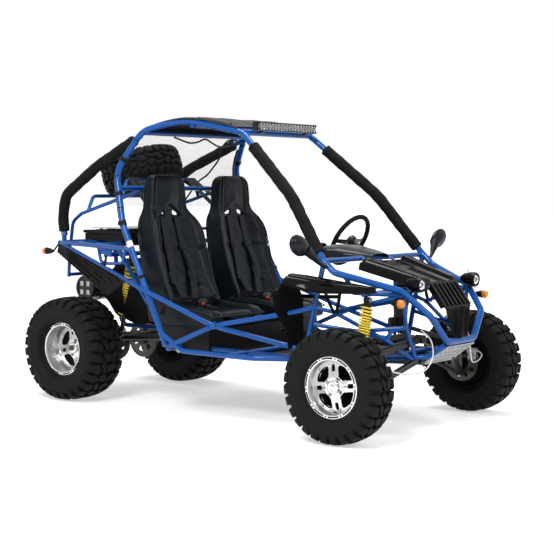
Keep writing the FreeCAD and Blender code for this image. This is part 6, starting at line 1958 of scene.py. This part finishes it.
beads = []
for centre, way, radius in (((0.808, 0.595, 0.366), (0.4, 0, 0.17), 0.0128),
                            ((1.063, 0.592, 0.478), (0.283, 0, 0.124), 0.0128),
                            ((1.103, 0.592, 0.494), (0.283, -0.02, 0.08), 0.0128),
                            ((1.446, 0.512, 0.558), (1, -0.3, 0.2), 0.0128),
                            ((1.640, 0.451, 0.806), (-0.1, 0, -1), 0.0128),
                            ((1.600, 0.462, 0.596), (0.8, -0.4, 0.1), 0.0105),
                            ((1.686, 0.421, 0.582), (0.8, -0.4, 0.1), 0.0105),
                            ((1.974, 0.293, 0.667), (0.8, -0.4, 0.1), 0.0105),
                            ((1.993, 0.286, 0.520), (0.8, -0.4, 0.1), 0.0105),
                            ((2.094, 0.142, 0.418), (0.6, 0, 0.5), 0.0128),
                            ((1.757, 0.425, 0.742), (0, 0, 1), 0.0128),
                            ((0.500, 0.553, 0.838), (1, 0.2, 0), 0.0128),
                            ((-0.126, 0.372, 0.826), (0.1, 0, 1), 0.0105),
                            ((1.630, 0.434, 0.822), (0, 1, 0), 0.0128),
                            ((0.300, 0.330, 0.786), (-0.5, 0, 0.86), 0.0128),
                            ((0.545, 0.330, 0.378), (0.5, 0, -0.86), 0.0128),
                            ((0.365, 0.492, 1.150), (0, 1, 0), 0.0128),
                            ((0.745, 0.340, 1.478), (0, 1, 0), 0.0128)):
    beads.append(weld(place(*centre), way, radius))
gusset = np.array([(0.235, 0.829), (0.325, 0.829), (0.312, 0.800), (0.290, 0.800), (0.284, 0.784),
                   (0.264, 0.784), (0.258, 0.800), (0.240, 0.800)])
rings = [np.insert(gusset, 1, y, axis=1) for y in (0.497, 0.501)]
beads.append(capped(places(np.array(rings))))
beads.append(rod(bent(list(places([(0.455, 0.545, 0.830), (0.425, 0.532, 0.762), (0.300, 0.500, 0.752),
                                   (0.215, 0.475, 0.756), (0.190, 0.470, 0.836)])),
                      [0.03, 0.03, 0.03]), 0.0085, 16))
piece("welds_and_gussets", both(beads), "blue_paint", "chassis")
dark = [rod(places([(0.274, 0.499, 0.796), (0.272, 0.498, 0.772), (0.262, 0.496, 0.754)]), 0.007, 14)]
dark += [drum(-0.006, 0.006, 0.012, place(0.262, 0.496, 0.752), (0, 1, 0), 24)]
piece("catch_rods", both(dark), "trim_black", "chassis")
print(len(beads) * 2, "beads and gussets")

# %% [markdown]
# ## Engine shields and tray
# Behind the rear fenders a moulded shield keeps mud off the engine. It hangs from the slanted
# frame post on each side, and two flat flaps stand outside it on short pins. A thin bright tray
# lies over the rear box.

# %% Engine shields and tray
shield = np.array([(0.085, 0.700), (0.180, 0.765), (0.300, 0.775), (0.345, 0.720), (0.405, 0.615),
                   (0.470, 0.500), (0.475, 0.440), (0.420, 0.415), (0.300, 0.430), (0.200, 0.480),
                   (0.120, 0.560), (0.080, 0.630)])
ring = rounded(shield, 0.018)
layers = [(0.2600, 0.997), (0.2585, 1.0), (0.2560, 1.0), (0.2550, 0.997)]
rings = [np.insert(grown(ring, factor), 1, y, axis=1) for y, factor in layers]
parts = [capped(places(np.array(rings)))]
for k in range(4):
    parts.append(rod(places([(0.13 + 0.075 * k, 0.2605, 0.70 - 0.03 * k),
                             (0.17 + 0.075 * k, 0.2605, 0.52 - 0.03 * k)]), 0.004, 10))
for x, z in ((0.300, 0.760), (0.440, 0.540), (0.460, 0.450)):
    parts.append(rod(places([(x, 0.256, z), (x + 0.018, 0.330, z)]), 0.006, 12))
flaps = [np.array([(0.110, 0.680), (0.165, 0.722), (0.222, 0.690), (0.250, 0.645), (0.272, 0.545),
                   (0.264, 0.474), (0.236, 0.482), (0.180, 0.520), (0.128, 0.560), (0.098, 0.610)]),
         np.array([(0.286, 0.540), (0.318, 0.640), (0.385, 0.640), (0.430, 0.600), (0.452, 0.520),
                   (0.437, 0.430), (0.360, 0.425), (0.295, 0.445), (0.262, 0.474), (0.270, 0.520)])]
for flap in flaps:
    ring = rounded(flap, 0.010)
    parts.append(capped(places(np.array([np.insert(ring, 1, y, axis=1) for y in (0.3575, 0.3605)]))))
for x, z, inner in ((0.412, 0.600, 0.335), (0.448, 0.540, 0.335), (0.268, 0.490, 0.262),
                    (0.150, 0.700, 0.262)):
    parts.append(rod(places([(x, inner, z), (x, 0.3625, z)]), 0.006, 12))
piece("engine_side_shields", both(parts), "moulded_black", "chassis")
tray = [soft_block(place(0.075, -0.040, 0.9275), (0.125, 0.235, 0.0018), 0.08, 8, 32)]
for x in (-0.03, 0.18):
    for y in (-0.22, 0.14):
        tray.append(drum(-0.008, 0.008, 0.008, place(x, y, 0.920), (0, 0, 1), 16))
for y in (-0.275, 0.195):
    tray.append(rod(places([(-0.050, y, 0.929), (0.200, y, 0.929)]), 0.0035, 10))
piece("deck_tray", tray, "bright_plate", "chassis")
print("shields and tray")

# %% [markdown]
# ## Brakes, hubs and hoses
# Each front wheel turns on a hub that carries a drilled disc. The caliper stays with the knuckle.
# A braided hose hangs in a curve from the frame to each caliper's arm.

# %% Brakes
HUB_X, HUB_Z = 1.850, FRONT["radius"]
for side, out in (("left", 1), ("right", -1)):
    wheel_parts = [painted(perforated(0.098, 0.040, 0.5145, 0.5185, 10, 0.060, 0.080, x=HUB_X, z=HUB_Z,
                                      share=0.4), 0)]
    wheel_parts.append(painted(axis_y([(0.5185, 0.014), (0.5185, 0.044), (0.530, 0.044), (0.545, 0.030),
                                       (0.600, 0.030), (0.608, 0.055), (0.616, 0.055),
                                       (0.616, 0.014)], HUB_X, 0, HUB_Z, 40), 1))
    # The near-black disc just behind the spokes, wider than the brake disc, is painted shade: it darkens the
    # wheel windows.
    wheel_parts.append(painted(axis_y([(0.584, 0.030), (0.584, 0.113), (0.588, 0.1165), (0.592, 0.113),
                                       (0.592, 0.030)], HUB_X, 0, HUB_Z, 72), 1))
    for k in range(5):
        a = 2 * math.pi * k / 5
        spot = place(HUB_X + 0.038 * math.cos(a), 0.5145, HUB_Z + 0.038 * math.sin(a))
        wheel_parts += bolt(spot, (0, -1, 0), 0.005, 0.004, shade=1)
    piece(f"{side}_front_brake_disc", on_side(wheel_parts, out), ["dark_steel", "wheel_black"],
          f"{side}_front_wheel")
    clamp = [soft_block(place(1.918, 0.507, 0.317), (0.026, 0.008, 0.030), 0.3, 12, 28),
             soft_block(place(1.918, 0.527, 0.317), (0.024, 0.006, 0.028), 0.3, 12, 28)]
    clamp += [lathe([(-0.010, 0), (-0.010, 0.014), (0.000, 0.015), (0.000, 0)],
                    place(1.918, 0.500, 0.317 + dz), (0, 1, 0), 24) for dz in (-0.012, 0.014)]
    for x, z in ((1.94, 0.300), (1.90, 0.336)):
        clamp += bolt(place(x, 0.494, z), (0, -1, 0), 0.006, 0.006)
    for z, way in ((0.383, 1), (0.202, -1)):
        clamp += bolt(place(HUB_X, 0.497, z), (0, 0, way), 0.010, 0.010)
    piece(f"{side}_caliper", on_side(clamp, out), "cast_aluminium", f"{side}_knuckle")
    # A near-black disc just behind each rear wheel's spokes is painted shade: it darkens the wheel windows.
    shade = [axis_y([(0.4380, 0.0150), (0.4380, 0.1150), (0.4420, 0.1165), (0.4450, 0.1150),
                     (0.4450, 0.0150)], 0, 0, AXLE_Z, 72)]
    piece(f"{side}_rear_wheel_painted_shade", on_side(shade, out), "wheel_black", "rear_axle")
hose_points = places([(2.030, 0.198, 0.505), (2.075, 0.180, 0.455), (2.086, 0.182, 0.376),
                      (2.070, 0.235, 0.316), (2.046, 0.340, 0.311), (2.018, 0.425, 0.328),
                      (1.972, 0.466, 0.340), (1.945, 0.474, 0.338)])
hoses = [rod(curve_through(hose_points, 80), 0.0036, 12)]
piece("brake_hoses", both(hoses), "bright_plate", "chassis")
arm_covers = [rod(places([(1.992, 0.160, 0.452), (1.880, 0.455, 0.382)]), 0.019, 20),
              rod(places([(1.990, 0.165, 0.352), (1.880, 0.455, 0.222)]), 0.0165, 20)]
arm_covers += [drum(-0.022, 0.022, 0.021, place(1.998, 0.150, z), (1, 0, 0), 28) for z in (0.455, 0.352)]
arm_covers.append(ribbon(places([(1.900, 0.300, 0.424), (1.865, 0.440, 0.388)]), (1, 0, 0), 0.100, 0.005))
piece("arm_sleeves", both(arm_covers), "black_paint", "chassis")
pads = []
for y in (0.180, 0.250):
    pads.append(soft_block(place(1.6285, y, 0.470), (0.004, 0.030, 0.042), 0.25, 10, 28))
    pads += [soft_block(place(1.6238, y, 0.440 + 0.012 * k), (0.002, 0.026, 0.003), 0.4, 8, 16)
             for k in range(6)]
piece("pedal_pads", pads, "rubber", "chassis")
print("brakes, hoses and pedal pads")

# %% [markdown]
# ## Chain
# The chain is a belt of links round both toothed wheels. Its centre line is two arcs joined by the
# straight runs that touch both. One link is drawn once and its copies are set along that line.

# %% Chain
BIG_R, SMALL_R, PITCH = 0.101, 0.031, 0.0127
big, small_wheel = np.array([0.0, AXLE_Z]), np.array([OUTPUT_X, OUTPUT_Z])
gap = np.linalg.norm(small_wheel - big)
lean_angle = math.acos((BIG_R - SMALL_R) / gap)
base_angle = math.atan2(*(small_wheel - big)[::-1])


def arc(centre, radius, start, end, count):
    """Evenly spaced points of an arc in the plane of the chain."""
    angle = np.linspace(start, end, count)
    return centre + radius * np.stack([np.cos(angle), np.sin(angle)], axis=-1)


loop = np.concatenate([
    arc(big, BIG_R, base_angle + lean_angle, base_angle + 2 * math.pi - lean_angle, 90),
    arc(small_wheel, SMALL_R, base_angle - lean_angle, base_angle + lean_angle, 40)])
loop = np.concatenate([loop, loop[:1]])
run = distance_along(loop)
count = int(run[-1] / PITCH)
at_links = np.arange(count) * run[-1] / count
spots = points_at(at_links, run, loop)
ahead = np.roll(spots, -1, axis=0) - spots
ahead /= np.linalg.norm(ahead, axis=1, keepdims=True)
aside = np.stack([-ahead[:, 1], ahead[:, 0]], axis=-1)
link_verts, link_faces = soft_block((0, 0, 0), (0.0075, 0.0012, 0.0042), 0.5, 6, 12)
grids = []
for y in (0.0945, 0.1025):
    turned = ahead[:, None] * link_verts[None, :, :1] + aside[:, None] * link_verts[None, :, 2:]
    flat = turned + (spots + ahead * PITCH / 2)[:, None, :]
    shift = 0.0012 * (np.arange(count) % 2)[:, None] * (1 if y > 0.1 else -1)
    grids.append(np.stack([flat[..., 0], y + shift + link_verts[None, :, 1] + 0 * flat[..., 0],
                           flat[..., 1]], axis=-1))
verts = places(np.concatenate(grids).reshape(-1, 3))
copies = np.arange(2 * count)[:, None, None] * len(link_verts)
piece("drive_chain", [(verts, (np.asarray(link_faces)[None] + copies).reshape(-1, 4))],
      "dark_steel", "chassis")
print("chain of", count, "links")
